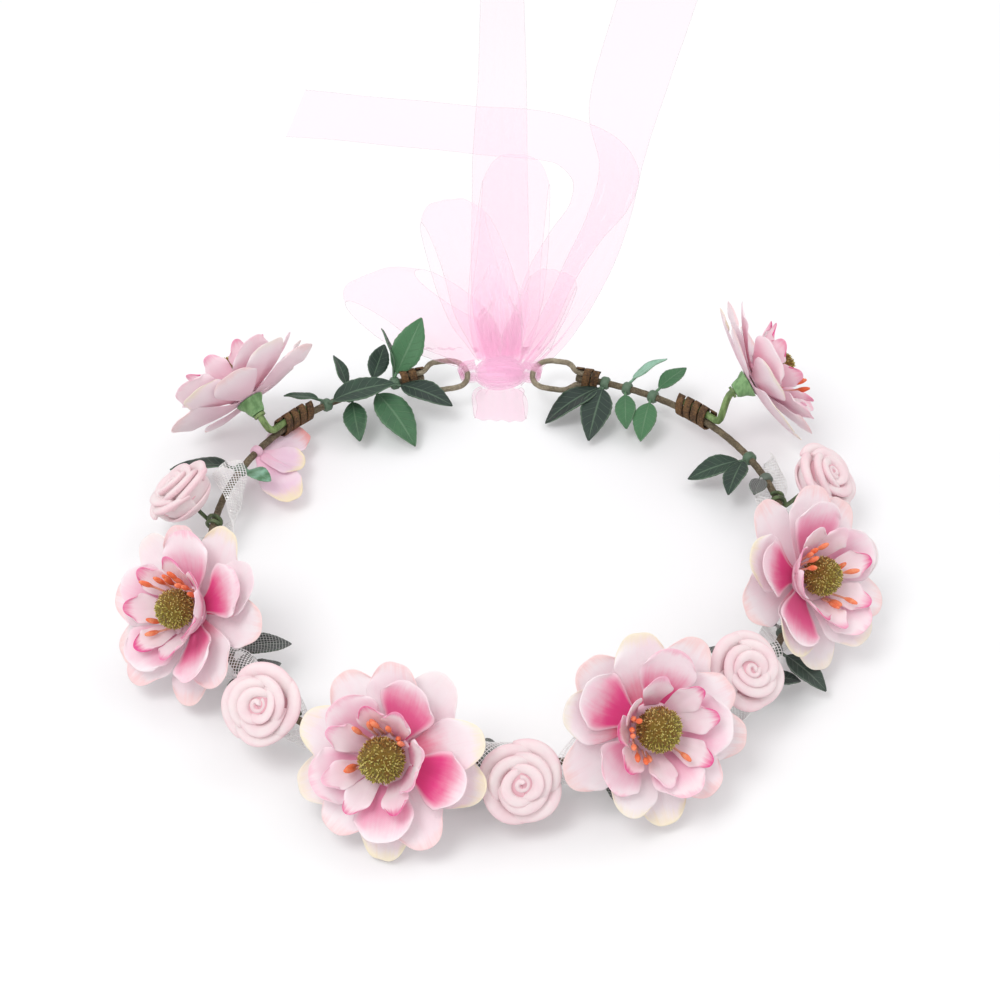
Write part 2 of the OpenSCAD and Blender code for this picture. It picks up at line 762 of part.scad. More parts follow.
// Bow loops: where they leave the knot with the height off it, azimuth, length, height,
// rise of the far end, width
BOW_LOOPS = [
    [[-0.68, 60, 1], 129, 72, 7, -5, 36],
    [[0, 75, 0.4], 104, 86, 8, 10, 28],
    [[0, 6, 0], 87, 142, 6, -4, 30],
    [[0.68, 60, 0.5], 72, 52, 8, 2, 20],
    [[0, 200, 0.3], 270, 13, 4, -4, 20]
];
bow_neck = 4.6;
bow_opening = 8;
bow_rings = 24;
bow_fullness = 0.62;
bow_throat = 0.35;
ribbon_seat = seat_gap + ribbon_thickness / 2;
module bow_loop(row) {
    start = knot_middle + knot_point(row[0][0], row[0][1], ribbon_seat + row[0][2]);
    out = [cos(row[1]), sin(row[1]), 0];
    across = [-out.y, out.x, 0];
    turns = [for (i = [0 : bow_rings]) mix(bow_opening, 360 - bow_opening, i / bow_rings)];
    p = [for (a = turns)
        let (far = (cos(bow_opening) - cos(a)) / 2, full = mix(bow_throat, 1, sin(a / 2)))
        start + row[2] * far * out + [0, 0, row[4] * far + row[3] * bow_fullness * sin(a) * full]];
    widths = [for (a = turns) mix(bow_neck, row[5], pow(sin(a / 2), 2))];
    strip(p, [for (a = turns) across], widths, ribbon_thickness);
}
module ribbon_bow() {
    color("#ffc9e2")
        for (row = BOW_LOOPS)
            bow_loop(row);
}

// Tails laid on the table: where each leaves the knot and its width there, then points
// from the knot's middle with the ribbon's width at each
STRAIGHT_TAIL = [[0, -18, 8],
    [[0, 33, -4, 18], [0, 68, -7, 22], [0, 125, -8.1, 22.5], [0, 152, -8.1, 22.5], [1, 214, -8.1, 21],
     [1, 288, -8.1, 20], [1, 333, -8.1, 20]]];
FOLDED_TAIL = [[0.3, -40, 8],
    [[12, 38, -7, 16], [20, 72, -9.2, 20], [30, 98, -9.2, 22], [40, 120, -9.2, 24], [43, 142, -9.2, 28],
     [34, 162, -9.2, 33], [14, 172, -9.2, 36], [-10, 176, -9.2, 37], [-45, 182, -9.2, 37],
     [-87, 189, -9.2, 36]]];
RIGHT_TAIL = [[0.55, -60, 6],
    [[20, 36, -8.5, 14], [34, 78, -10.1, 18], [44, 115, -10.1, 17], [50, 150, -10.1, 18], [54, 199, -10.1, 31],
     [72, 286, -10.1, 36], [82, 333, -10.1, 37]]];
tail_steps = 4;
module ribbon_tail(row) {
    root = knot_point(row[0][0], row[0][1], ribbon_seat);
    line = spline(concat([[each root, row[0][2]]], row[1]), tail_steps);
    p = [for (c = line) knot_middle + [c[0], c[1], c[2]]];
    across = [for (i = [0 : len(p) - 1]) cross([0, 0, 1], heading(p, i))];
    strip(p, across, [for (c = line) c[3]], ribbon_thickness);
}
module ribbon_tails() {
    color("#fde6f1") {
        ribbon_tail(STRAIGHT_TAIL);
        ribbon_tail(FOLDED_TAIL);
        ribbon_tail(RIGHT_TAIL);
    }
}

HEAD_PIECES = ["calyx", "outer_petals", "middle_petals", "inner_petals", "stamens", "button"];

band_wire();
left_tie_loop();
right_tie_loop();
tape_bindings();
for (k = [1 : flower_count]) {
    flower_stem(k);
    flower_calyx(k);
    flower_outer_petals(k);
    flower_middle_petals(k);
    flower_inner_petals(k);
    flower_stamens(k);
    flower_button(k);
}
for (k = [1 : rose_count])
    rose(k);
rose_stems();
leaf_spray_left();
leaf_spray_right();
leaf_spray_front();
tucked_petals();
tulle_wrap();
ribbon_knot();
ribbon_bow();
ribbon_tails();
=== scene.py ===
import math

import bpy
import numpy as np
from mathutils import Matrix, Vector


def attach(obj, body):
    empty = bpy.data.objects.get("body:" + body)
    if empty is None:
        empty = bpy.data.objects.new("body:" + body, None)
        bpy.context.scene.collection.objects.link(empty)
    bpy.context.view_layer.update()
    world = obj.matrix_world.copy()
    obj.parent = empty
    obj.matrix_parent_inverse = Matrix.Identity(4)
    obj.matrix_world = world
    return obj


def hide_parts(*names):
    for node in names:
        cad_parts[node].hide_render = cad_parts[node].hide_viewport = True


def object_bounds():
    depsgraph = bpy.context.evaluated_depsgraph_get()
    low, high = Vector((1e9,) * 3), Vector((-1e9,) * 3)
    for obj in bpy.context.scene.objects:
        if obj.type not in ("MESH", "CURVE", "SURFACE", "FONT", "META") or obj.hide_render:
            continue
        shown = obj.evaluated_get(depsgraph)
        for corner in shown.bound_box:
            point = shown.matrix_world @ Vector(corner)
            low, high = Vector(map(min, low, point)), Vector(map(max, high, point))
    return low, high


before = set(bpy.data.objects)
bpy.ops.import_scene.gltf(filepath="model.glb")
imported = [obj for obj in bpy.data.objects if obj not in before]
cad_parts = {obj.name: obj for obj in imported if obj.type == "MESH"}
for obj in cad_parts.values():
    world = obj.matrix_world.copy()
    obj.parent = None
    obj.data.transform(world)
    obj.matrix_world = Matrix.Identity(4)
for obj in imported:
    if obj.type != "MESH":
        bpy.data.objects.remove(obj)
cad_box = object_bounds()

# Sizes of the crown in millimetres, as in the part's source
MM = 0.001
HALF_WIDTH = 95.0
HALF_DEPTH = 92.0
ROUNDNESS = 2.2
BACK_GAP = 56.0
WIRE_RADIUS = 1.2
SEAT_GAP = 0.3
GAP_ANGLE = math.degrees(math.atan(BACK_GAP / 2 / HALF_DEPTH))
BAND_START = 90 + GAP_ANGLE
BAND_END = 450 - GAP_ANGLE
ENDS = ((BAND_START, 1), (BAND_END, -1))
FLOOR_Z = cad_box[0].z

# Flowers: band angle, distance out, height, axis azimuth, axis elevation, spin, way the stem trails
FLOWERS = [
    [145, 8, 13.5, 132, 32, 10, -1],
    [203, 5, 10.5, 224, 42, 25, -1],
    [252, 9, 9.5, 250, 43, 5, 1],
    [296, 3, 11.5, 294, 42, 30, 1],
    [343, 1.5, 14, 317, 40, 15, 1],
    [398, 12, 15.5, 377, 24, 40, 1],
]
# Roses: band angle, distance out, height, axis azimuth, axis elevation, spin
ROSES = [
    [171, 6, 4, 165, 50, 0],
    [228, 4, 6, 240, 46, 50],
    [273.5, 7, 2, 272, 40, 20],
    [317.5, -1.5, 8.5, 306, 50, 80],
    [373.5, 9.5, 5, 345, 50, 35],
]


# Vectors and curves
UP = np.array([0.0, 0.0, 1.0])


def unit(v):
    v = np.asarray(v, float)
    return v / np.linalg.norm(v)


def mix(a, b, s):
    return a * (1 - s) + b * s


def smooth(low, high, x):
    t = np.clip((np.asarray(x, float) - low) / (high - low), 0, 1)
    return t * t * (3 - 2 * t)


def sin(a):
    return np.sin(np.radians(a))


def cos(a):
    return np.cos(np.radians(a))


def spline(points, steps):
    """A smooth line through rows of numbers, with so many steps between two of them."""
    p = np.asarray(points, float)
    p = np.vstack([2 * p[0] - p[1], p, 2 * p[-1] - p[-2]])
    rows = []
    for i in range(1, len(p) - 2):
        a, b, c, d = p[i - 1 : i + 3]
        for s in np.linspace(0, 1, steps, endpoint=False):
            rows.append(0.5 * (2 * b + (c - a) * s + (2 * a - 5 * b + 4 * c - d) * s**2
                               + (3 * b - a - 3 * c + d) * s**3))
    return np.array(rows + [p[-2]])


def rows_of(low, high, count):
    return np.linspace(low, high, count)[:, None]


def cols_of(low, high, count):
    return np.linspace(low, high, count)[None, :]


def polar(r, turn, z):
    return np.stack(np.broadcast_arrays(r * cos(turn), r * sin(turn), z), -1)


def run_along(path):
    """How far each point of a path lies from its start."""
    return np.concatenate([[0], np.cumsum(np.linalg.norm(np.diff(path, axis=0), axis=1))])


def placed(points, matrix):
    m = np.array(matrix)
    return points @ m[:3, :3].T + m[:3, 3]


def headings(path):
    t = np.gradient(np.asarray(path, float), axis=0)
    return t / np.linalg.norm(t, axis=1, keepdims=True)


# The ring and what stands on it
def ring_point(a):
    c, s = cos(a), sin(a)
    r = (abs(c / HALF_WIDTH) ** ROUNDNESS + abs(s / HALF_DEPTH) ** ROUNDNESS) ** (-1 / ROUNDNESS)
    return r * np.array([c, s, 0.0])


def ring_tangent(a):
    return unit(ring_point(a + 0.5) - ring_point(a - 0.5))


def ring_out(a):
    t = ring_tangent(a)
    return np.array([t[1], -t[0], 0.0])


def beside(a, reach, roll):
    """A point beside the wire, at a roll from outward to up."""
    return ring_point(a) + reach * (cos(roll) * ring_out(a) + sin(roll) * UP)


def mount_point(row):
    return ring_point(row[0]) + row[1] * ring_out(row[0]) + row[2] * UP


def axis_of(row):
    return np.array([cos(row[4]) * cos(row[3]), cos(row[4]) * sin(row[3]), sin(row[4])])


def degrees_for(length):
    return math.degrees(length / ((HALF_WIDTH + HALF_DEPTH) / 2))


def roll_of(row, drop):
    """The roll about the wire at which a flower's or a rose's axis meets it, so far below the mount."""
    foot = mount_point(row) - drop * axis_of(row) - ring_point(row[0])
    return math.degrees(math.atan2(foot[2], foot @ ring_out(row[0])))


def standing(point, *turns):
    """The matrix that turns a piece about one axis after another and moves it to a point."""
    matrix = Matrix.Translation(Vector(point))
    for axis, angle in turns:
        matrix = matrix @ Matrix.Rotation(math.radians(angle), 4, axis)
    return matrix


def seat(row):
    """The matrix that stands a flower or a rose on its mount, in millimetres."""
    return standing(mount_point(row), ("Z", row[3]), ("Y", 90 - row[4]), ("Z", row[5]))


# Meshes
def normals(grid):
    normal = np.cross(np.gradient(grid, axis=0), np.gradient(grid, axis=1))
    return normal / np.maximum(np.linalg.norm(normal, axis=2, keepdims=True), 1e-9)


def quads_of(index):
    """The faces between the rows and columns of a grid of point numbers."""
    return np.stack([index[:-1, :-1], index[1:, :-1], index[1:, 1:], index[:-1, 1:]], -1).reshape(-1, 4)


class Skin:
    """The points, faces and per-point values of one piece, gathered from sheets and rods."""

    def __init__(self, *names):
        self.points = []
        self.faces = []
        self.values = {name: [] for name in names}
        self.count = 0

    def add(self, points, faces, **values):
        points = np.asarray(points, float).reshape(-1, 3)
        self.points.append(points)
        self.faces += [[i + self.count for i in face] for face in faces]
        for name, kept in self.values.items():
            kept.append(np.broadcast_to(np.ravel(values.get(name, 0.0)), len(points)))
        self.count += len(points)

    def sheet(self, grid, thickness, **values):
        """A thin closed sheet from rows and columns of points."""
        rows, cols = grid.shape[:2]
        half = normals(grid) * np.broadcast_to(thickness, (rows, cols))[:, :, None] / 2
        index = np.arange(rows * cols).reshape(rows, cols)
        quads = quads_of(index)
        other = quads[:, ::-1] + rows * cols
        ring = np.concatenate([index[0, :-1], index[:-1, -1], index[-1, :0:-1], index[:0:-1, 0]])
        after = np.roll(ring, -1)
        rim = np.stack([ring, after, after + rows * cols, ring + rows * cols], -1)
        faces = np.concatenate([quads, other, rim]).tolist()
        both = {n: np.tile(np.broadcast_to(v, (rows, cols)).ravel(), 2) for n, v in values.items()}
        both["under"] = np.repeat([0.0, 1.0], rows * cols)
        self.add(np.concatenate([(grid + half).reshape(-1, 3), (grid - half).reshape(-1, 3)]), faces, **both)

    def veil(self, grid, **values):
        """A single ply without thickness from rows and columns of points."""
        index = np.arange(grid[..., 0].size).reshape(grid.shape[:2])
        self.add(grid, quads_of(index).tolist(), **{n: np.broadcast_to(v, index.shape) for n, v in values.items()})

    def rod(self, path, radius, sides=8, **values):
        """A round rod along a path, with one radius or one for each point."""
        path = np.asarray(path, float)
        count = len(path)
        radius = np.broadcast_to(radius, count)
        along = headings(path)
        side = np.cross(along[0], UP if abs(along[0][2]) < 0.9 else np.array([1.0, 0, 0]))
        rings = []
        for i in range(count):
            side = unit(side - (side @ along[i]) * along[i])
            other = np.cross(along[i], side)
            turn = np.linspace(0, 360, sides, endpoint=False)[:, None]
            rings.append(path[i] + radius[i] * (cos(turn) * side + sin(turn) * other))
        index = np.arange(count * sides).reshape(count, sides)
        nxt = np.roll(index, -1, axis=1)
        walls = np.stack([index[:-1], nxt[:-1], nxt[1:], index[1:]], -1).reshape(-1, 4).tolist()
        caps = [index[0, ::-1].tolist(), index[-1].tolist()]
        each = {n: np.repeat(np.broadcast_to(v, count), sides) for n, v in values.items()}
        self.add(np.concatenate(rings), walls + caps, **each)

    def moved(self, matrix):
        self.points = [placed(p, matrix) for p in self.points]
        return self


def make(skin, name, material, slot, *nodes, body="crown", levels=0):
    """A piece of the object from a skin: it rides on its body and stands for its CAD nodes."""
    mesh = bpy.data.meshes.new(name)
    mesh.from_pydata((np.concatenate(skin.points) * MM).tolist(), [], skin.faces)
    for value, kept in skin.values.items():
        layer = mesh.attributes.new(value, "FLOAT", "POINT")
        layer.data.foreach_set("value", np.concatenate(kept).astype(np.float32))
    mesh.polygons.foreach_set("use_smooth", np.ones(len(mesh.polygons), bool))
    mesh.materials.append(material)
    mesh.update()
    obj = bpy.data.objects.new(name, mesh)
    bpy.context.scene.collection.objects.link(obj)
    if levels:
        rounding = obj.modifiers.new("rounding", "SUBSURF")
        rounding.levels = rounding.render_levels = levels
    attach(obj, body)
    if nodes:
        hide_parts(*nodes)
    return obj


# Materials
def colour(text):
    """A written colour such as #ff9fd0, as the shader's own numbers."""
    parts = [int(text[i : i + 2], 16) / 255 for i in (1, 3, 5)]
    return tuple(c / 12.92 if c <= 0.04045 else ((c + 0.055) / 1.055) ** 2.4 for c in parts) + (1.0,)


class Paint:
    """A material's nodes, with short calls for the kinds that are used here. Colours are written as #rrggbb."""

    def __init__(self, name, shine=0.5, **plain):
        self.material = bpy.data.materials.new(name)
        self.material.use_nodes = True
        self.tree = self.material.node_tree
        self.tree.nodes.clear()
        self.out = self.tree.nodes.new("ShaderNodeOutputMaterial")
        self.skin = self.tree.nodes.new("ShaderNodeBsdfPrincipled")
        self.skin.inputs["Specular IOR Level"].default_value = shine
        self.tree.links.new(self.skin.outputs[0], self.out.inputs["Surface"])
        for socket, value in plain.items():
            self.skin.inputs[socket.replace("_", " ").title()].default_value = value

    def put(self, socket, value):
        if isinstance(value, bpy.types.NodeSocket):
            self.tree.links.new(value, socket)
        else:
            socket.default_value = colour(value) if isinstance(value, str) else value

    def node(self, kind, out=0, settings=None, **inputs):
        node = self.tree.nodes.new("ShaderNode" + kind)
        for name, value in (settings or {}).items():
            setattr(node, name, value)
        for name, value in inputs.items():
            self.put(node.inputs[int(name[1:]) if name[1:].isdigit() else name], value)
        return node.outputs[out]

    def value(self, name):
        return self.node("Attribute", 2, {"attribute_name": name})

    def place(self, *scale):
        spot = self.node("TexCoord", 3)
        return self.node("Mapping", 0, Vector=spot, Scale=scale) if scale else spot

    def noise(self, scale, detail=3.0, vector=None):
        return self.node("TexNoise", 0, Vector=vector or self.place(), Scale=scale, Detail=detail, Roughness=0.55)

    def wave(self, way, scale, distortion):
        return self.node("TexWave", 1, {"bands_direction": way}, Vector=self.place(), Scale=scale,
                         Distortion=distortion)

    def math(self, kind, a, b=0.0):
        return self.node("Math", 0, {"operation": kind}, _0=a, _1=b)

    def plus(self, a, b):
        return self.math("ADD", a, b)

    def times(self, a, b):
        return self.math("MULTIPLY", a, b)

    def size(self, a):
        return self.math("ABSOLUTE", a)

    def swing(self, value, share):
        """A value from 0 to 1, as a smaller one to either side of 0."""
        return self.times(self.math("SUBTRACT", value, 0.5), share)

    def span(self, value, low, high, to_low=0.0, to_high=1.0):
        return self.node("MapRange", 0, {"interpolation_type": "SMOOTHSTEP"}, _0=value, _1=low, _2=high, _3=to_low,
                         _4=to_high)

    def mix(self, share, a, b):
        return self.node("Mix", 2, {"data_type": "RGBA"}, _0=share, _6=a, _7=b)

    def vector(self, x, y, z):
        return self.node("CombineXYZ", 0, None, _0=x, _1=y, _2=z)

    def bump(self, height, distance, strength):
        self.put(self.skin.inputs["Normal"], self.node("Bump", 0, Height=height, Distance=distance, Strength=strength))

    def base(self, value):
        self.put(self.skin.inputs["Base Color"], value)

    def glow_through(self, share, value):
        """Lets some of the light through, as thin cloth does."""
        through = self.node("BsdfTranslucent", 0, Color=value)
        both = self.node("MixShader", 0, None, _0=share, _1=self.skin.outputs[0], _2=through)
        self.tree.links.new(both, self.out.inputs["Surface"])


def petal_paint(name, plain, throat, throat_from, throat_to, body, blush, tip_a, tip_b, tip_from, rim=0.0):
    """Silk: a deep throat, a pale body and a tinted tip, pinker below, with veins along the petal and a fine weave."""
    p = Paint(name, 0.25, roughness=0.62, sheen_weight=0.2, sheen_roughness=0.4)
    side, along, tint = p.value("side"), p.value("along"), p.value("tint")
    vein = p.noise(1.0, 4.0, p.vector(p.times(side, 9.0), p.times(along, 1.6), tint))
    reach = p.plus(along, p.plus(p.swing(p.noise(150.0), 0.3), p.swing(vein, 0.2)))
    far = p.plus(reach, p.swing(tint, 0.3))
    cloth = p.mix(p.span(p.noise(90.0, 2.0), 0.38, 0.68), body, blush)
    tip = p.mix(p.span(tint, 0.45, 0.55), tip_a, tip_b)
    edge = p.plus(reach, p.times(p.math("POWER", p.size(side), 3.0), 0.06))
    tipped = p.mix(p.times(p.span(edge, tip_from, 1.04), p.span(tint, 0.0, 0.35)), cloth, tip)
    inside = p.mix(p.value("deep"), plain, throat)
    washed = p.mix(p.span(far, throat_from, throat_to), inside, tipped)
    hemmed = p.mix(p.times(p.span(p.size(side), 0.72, 1.0), rim), washed, body)
    veined = p.mix(p.span(vein, 0.5, 0.72, 0.0, 0.12), hemmed, p.mix(0.4, hemmed, "#f39dbb"))
    reverse = p.mix(p.span(along, 0.2, 1.0), "#fddbe8", p.mix(0.5, tipped, "#fff0f5"))
    both_sides = p.mix(p.times(p.value("under"), 0.85), veined, reverse)
    p.base(both_sides)
    p.bump(p.plus(p.times(vein, 0.8), p.times(p.wave("DIAGONAL", 900.0, 1.5), 0.15)), 0.0004, 0.3)
    p.glow_through(0.3, both_sides)
    return p.material


def leaf_paint(name, dark, light, mint, back, net=0.0):
    """Coated cloth: pale midrib and side veins over mottled green, with a white net over the darkest if asked for."""
    p = Paint(name, 0.4, roughness=0.5)
    side, along, tint = p.value("side"), p.value("along"), p.value("tint")
    slant = p.plus(along, p.times(p.size(side), -0.22))
    ribs = p.size(p.math("SINE", p.times(slant, 24.0)))
    veins = p.math("MAXIMUM", p.span(ribs, 0.16, 0.02), p.span(p.size(side), 0.1, 0.03))
    shade = p.plus(tint, p.swing(p.noise(240.0, 4.0), 0.35))
    green = p.mix(p.span(shade, 0.05, 0.75), dark, light)
    green = p.mix(p.span(shade, 0.85, 1.05), green, mint)
    worn = p.mix(p.times(p.span(p.size(side), 0.86, 1.0), 0.35), green, back)
    threads = [p.span(p.size(p.math("SINE", p.times(value, rate))), 0.3, 0.12)
               for value, rate in ((along, 56.0), (side, 15.0))]
    netted = p.times(p.math("MAXIMUM", *threads), p.span(tint, 0.17, 0.13, 0.0, net))
    p.base(p.mix(netted, p.mix(p.times(veins, 0.28), worn, back), "#e4e4e2"))
    p.bump(p.plus(p.times(veins, -0.5), p.times(p.noise(900.0), 0.3)), 0.0005, 0.6)
    return p.material


def tape_paint(name, dark, light, grain):
    """Crepe tape: fine wrinkles across, lighter on the ridges as painted highlight and darker in the hollows as painted
    shade.
    """
    p = Paint(name, roughness=0.75)
    crepe = p.noise(grain, 5.0, p.place(1.0, 1.0, 3.0))
    # Painted light: the colour follows the crepe's bump, lighter on the ridges and darker in the hollows; the slower
    # noise is the tape's own blotchy tone.
    ridge_light_and_blotch = p.plus(p.times(crepe, 0.6), p.times(p.noise(320.0), 0.4))
    p.base(p.mix(p.span(ridge_light_and_blotch, 0.38, 0.64), dark, light))
    p.bump(crepe, 0.0006, 0.7)
    return p.material


def foam_paint():
    """Soft foam: nearly white on the rims, pinker in the creases as painted shade, with fine open pores."""
    p = Paint("rose_foam", 0.15, roughness=0.85, sheen_weight=0.15)
    # Painted shade: the depth value grows down in the creases and cups, and the pinker colours it brings in stand for
    # the shade there.
    depth = p.plus(p.value("depth"), p.swing(p.noise(260.0), 0.2))
    rim = p.mix(p.span(p.noise(120.0), 0.35, 0.7), "#fff6f6", "#feeaee")
    pink = p.mix(p.span(depth, 0.1, 0.6), rim, "#fcd6de")
    deep = p.mix(p.span(depth, 0.6, 1.0), pink, "#f8b4c4")
    p.base(deep)
    p.bump(p.noise(2600.0, 2.0), 0.0002, 0.4)
    p.glow_through(0.3, deep)
    return p.material


def button_paint():
    """Flock: olive fibres, yellow-green at the ends and brown on one side, darker at the roots as painted shade."""
    p = Paint("button_olive", 0.1, roughness=0.9, sheen_weight=0.2)
    tint, along = p.value("tint"), p.value("along")
    green = p.mix(p.span(tint, 0.1, 0.9), "#8f8238", "#c0b052")
    brown = p.mix(p.span(tint, 0.1, 0.9), "#8a5a28", "#b88a48")
    hue = p.mix(p.span(p.plus(p.value("warm"), p.times(p.noise(300.0), 0.5)), 0.5, 0.95), green, brown)
    # Painted shade: each fibre darkens towards its root, deep in the flock.
    fibre = p.mix(p.span(along, 0.1, 0.9), p.mix(0.5, hue, "#4a3a16"), hue)
    p.base(p.mix(p.times(p.span(along, 0.6, 1.0), p.span(tint, 0.5, 0.9)), fibre, "#e2d488"))
    return p.material


def stamen_paint():
    """Dyed thread: pale stalks and coral clubs."""
    p = Paint("stamen_orange", 0.3, roughness=0.55)
    club = p.mix(p.span(p.value("tint"), 0.2, 0.8), "#ec6f45", "#f58c66")
    thread = p.mix(p.span(p.value("along"), 0.42, 0.56), "#f6b6a2", club)
    p.base(p.mix(p.span(p.noise(700.0), 0.45, 0.75, 0.0, 0.6), thread, "#f9b48c"))
    p.bump(p.noise(2200.0), 0.0003, 0.5)
    return p.material


def sheer_paint(name, near, pale, alpha, fade=62.0):
    """Organza: a sheer plain weave of shiny thread, pinker near the knot and pale from the fade on, in millimetres."""
    p = Paint(name, 0.3, roughness=0.45, alpha=alpha, sheen_weight=0.3)
    weave = p.plus(*[p.times(p.wave(way, 700.0, 0.6), 0.5) for way in "XY"])
    far = p.plus(p.value("far"), p.swing(p.noise(26.0, 2.0), 24.0))
    p.base(p.mix(p.times(weave, 0.25), p.mix(p.span(far, 12.0, fade), near, pale), "#fff8fb"))
    p.bump(weave, 0.0002, 0.3)
    return p.material


def net_paint():
    p = Paint("tulle_white", 0.4, roughness=0.6)
    p.base(p.mix(p.span(p.noise(300.0), 0.3, 0.7), "#f7f7f6", "#e9e6e6"))
    return p.material


def stem_paint(name, dark, light):
    """Moulded plastic with a faint flow grain."""
    p = Paint(name, roughness=0.5)
    grain = p.noise(500.0, 4.0, p.place(1.0, 1.0, 0.3))
    p.base(p.mix(p.span(grain, 0.35, 0.65), dark, light))
    p.bump(grain, 0.0003, 0.4)
    return p.material


# Petals
PETAL_THICKNESS = 0.35
SILK_VALUES = ("along", "side", "tint", "under", "deep")
OUTER_SILK = petal_paint("outer_petal", "#feeaf1", "#fdd6e4", -0.1, 0.45, "#fffbfc", "#fff4f7",
                         "#fdf6dc", "#fde4e2", 0.8)
SECOND_SILK = petal_paint("second_petal", "#fddfea", "#f5769f", 0.0, 0.55, "#fffbfc", "#fff3f7",
                          "#fdf6dc", "#fde2e2", 0.82)
MIDDLE_SILK = petal_paint("middle_petal", "#fbbcd6", "#f2559a", 0.3, 0.92, "#fff6f9", "#ffe9f1",
                          "#fff8fa", "#fdd5e2", 0.88, 0.7)
INNER_SILK = petal_paint("inner_petal", "#fcdde9", "#f9b4d0", 0.0, 0.4, "#fff4f8", "#fee6ef",
                         "#f58fbd", "#ee62a3", 0.74)


def petal(rng, length, width, neck, lean, curl, cup, ruffle, point=0.0):
    """A petal's rows of points from its neck to its tip, with the values for its paint."""
    s = rows_of(0, 1, 15)
    t = cols_of(-1, 1, 9)
    widen = np.sin(np.pi / 2 * np.clip(s / 0.7, 0, 1)) ** 1.35
    narrow = 1 - (0.18 + 0.5 * point) * smooth(0.7, 1.0, s)
    half = (neck / 2 + (width - neck) / 2 * widen) * narrow
    notch = rng.uniform(0.0, 0.035) * (1 - point)
    ends = (0.3 + 0.25 * point) * (1 - np.sqrt(1 - 0.96 * t**2))
    ends = ends + notch * np.exp(-((t - rng.uniform(-0.2, 0.2)) / 0.22) ** 2)
    reach = length * s * (1 - ends * s**2)
    bend = np.radians(lean + curl * s + rng.uniform(-10, 6) * smooth(0.75, 1.0, s))
    step = np.diff(np.concatenate([np.zeros_like(reach[:1]), reach]), axis=0)
    x = np.cumsum(step * np.cos(bend), axis=0)
    z = np.cumsum(step * np.sin(bend), axis=0)
    wave = np.zeros_like(reach)
    for k in (1, 2, 3):
        side_way = rng.uniform(0.6, 1.4, 2)
        phase = rng.uniform(0, 2 * np.pi, 2)
        wave += np.where(t < 0, np.sin(2 * np.pi * k * side_way[0] * s + phase[0]),
                         np.sin(2 * np.pi * k * side_way[1] * s + phase[1])) / k
    lift = cup * (np.abs(t) ** 2) * half / (width / 2) * smooth(0.05, 0.5, s)
    lift = lift + ruffle * wave * np.abs(t) ** 2 * smooth(0.2, 0.9, s)
    lift = lift - 0.25 * np.exp(-((t / 0.12) ** 2)) * smooth(0.0, 0.3, s) * (1 - smooth(0.7, 1.0, s))
    lift = lift + rng.uniform(-0.12, 0.12) * t * half * s
    grid = np.stack([x - lift * np.sin(bend), half * t + 0 * s, z + lift * np.cos(bend)], -1)
    return grid, {"along": s, "side": t}


def turned(grid, turn, start, height):
    """A petal moved out to its start, raised and turned about the flower's axis."""
    x, y, z = grid[..., 0] + start, grid[..., 1], grid[..., 2] + height
    return np.stack([x * cos(turn) - y * sin(turn), x * sin(turn) + y * cos(turn), z], -1)


def ring_of_petals(rng, count, spin, lift, way, start, height, length, width, neck, lean, curl, cup, ruffle, spread,
                   point, tilt, longer):
    """A ring of petals, each a little different; on the open side they lean by the tilt and are longer."""
    skin = Skin(*SILK_VALUES)
    for k in range(count):
        turn = spin + 360 * k / count + rng.uniform(-spread, spread)
        near = cos(turn - way)
        grid, values = petal(rng, length * rng.uniform(0.94, 1.03) * (1 + longer * near),
                             width * rng.uniform(0.94, 1.06), neck,
                             lean + lift + tilt * near + rng.uniform(-spread, spread) * 0.6,
                             curl * rng.uniform(0.6, 1.2), cup * rng.uniform(0.6, 1.2), ruffle, point)
        skin.sheet(turned(grid, turn, start, height), PETAL_THICKNESS, tint=rng.uniform(0, 1),
                   deep=smooth(-0.35, 0.75, near), **values)
    return skin


def hub_disc(skin, radius, height, thickness):
    """The round middle that a ring of petals is cut with."""
    turns = cols_of(0, 360, 25)
    r = rows_of(1.8, radius, 4)
    skin.sheet(polar(r, turns, height), thickness, along=0.02, side=0.0, tint=0.5)


def stamens(rng, bunches, ring, height, way):
    """Thread stalks with club-shaped ends, in loose bunches beside the button."""
    skin = Skin("along", "tint")
    for middle, count, long, splay in bunches:
        for k in range(count):
            turn = middle + 13 * (k - (count - 1) / 2) + rng.uniform(-6, 6)
            s = np.linspace(0, 1, 14)
            reach = long * rng.uniform(0.75, 1.15)
            bend = np.radians(0.78 * splay - 8 * max(0.0, cos(turn - way)) + rng.uniform(-9, 2) - rng.uniform(0, 6) * s)
            out = ring + np.cumsum(np.sin(bend)) * reach / len(s)
            up = height + np.cumsum(np.cos(bend)) * reach / len(s)
            sway = rng.uniform(-1.6, 1.6) * s**2
            path = np.stack([out * cos(turn) - sway * sin(turn), out * sin(turn) + sway * cos(turn), up], -1)
            start = 1 - 5.0 / reach
            club = 0.36 + 0.5 * np.sin(np.pi * np.clip((s - start) / (1 - start), 0, 1)) ** 0.7
            skin.rod(path, np.where(s > start, club, 0.34), 8, along=0.5 + 0.5 * (s - start), tint=rng.uniform(0, 1))
    return skin


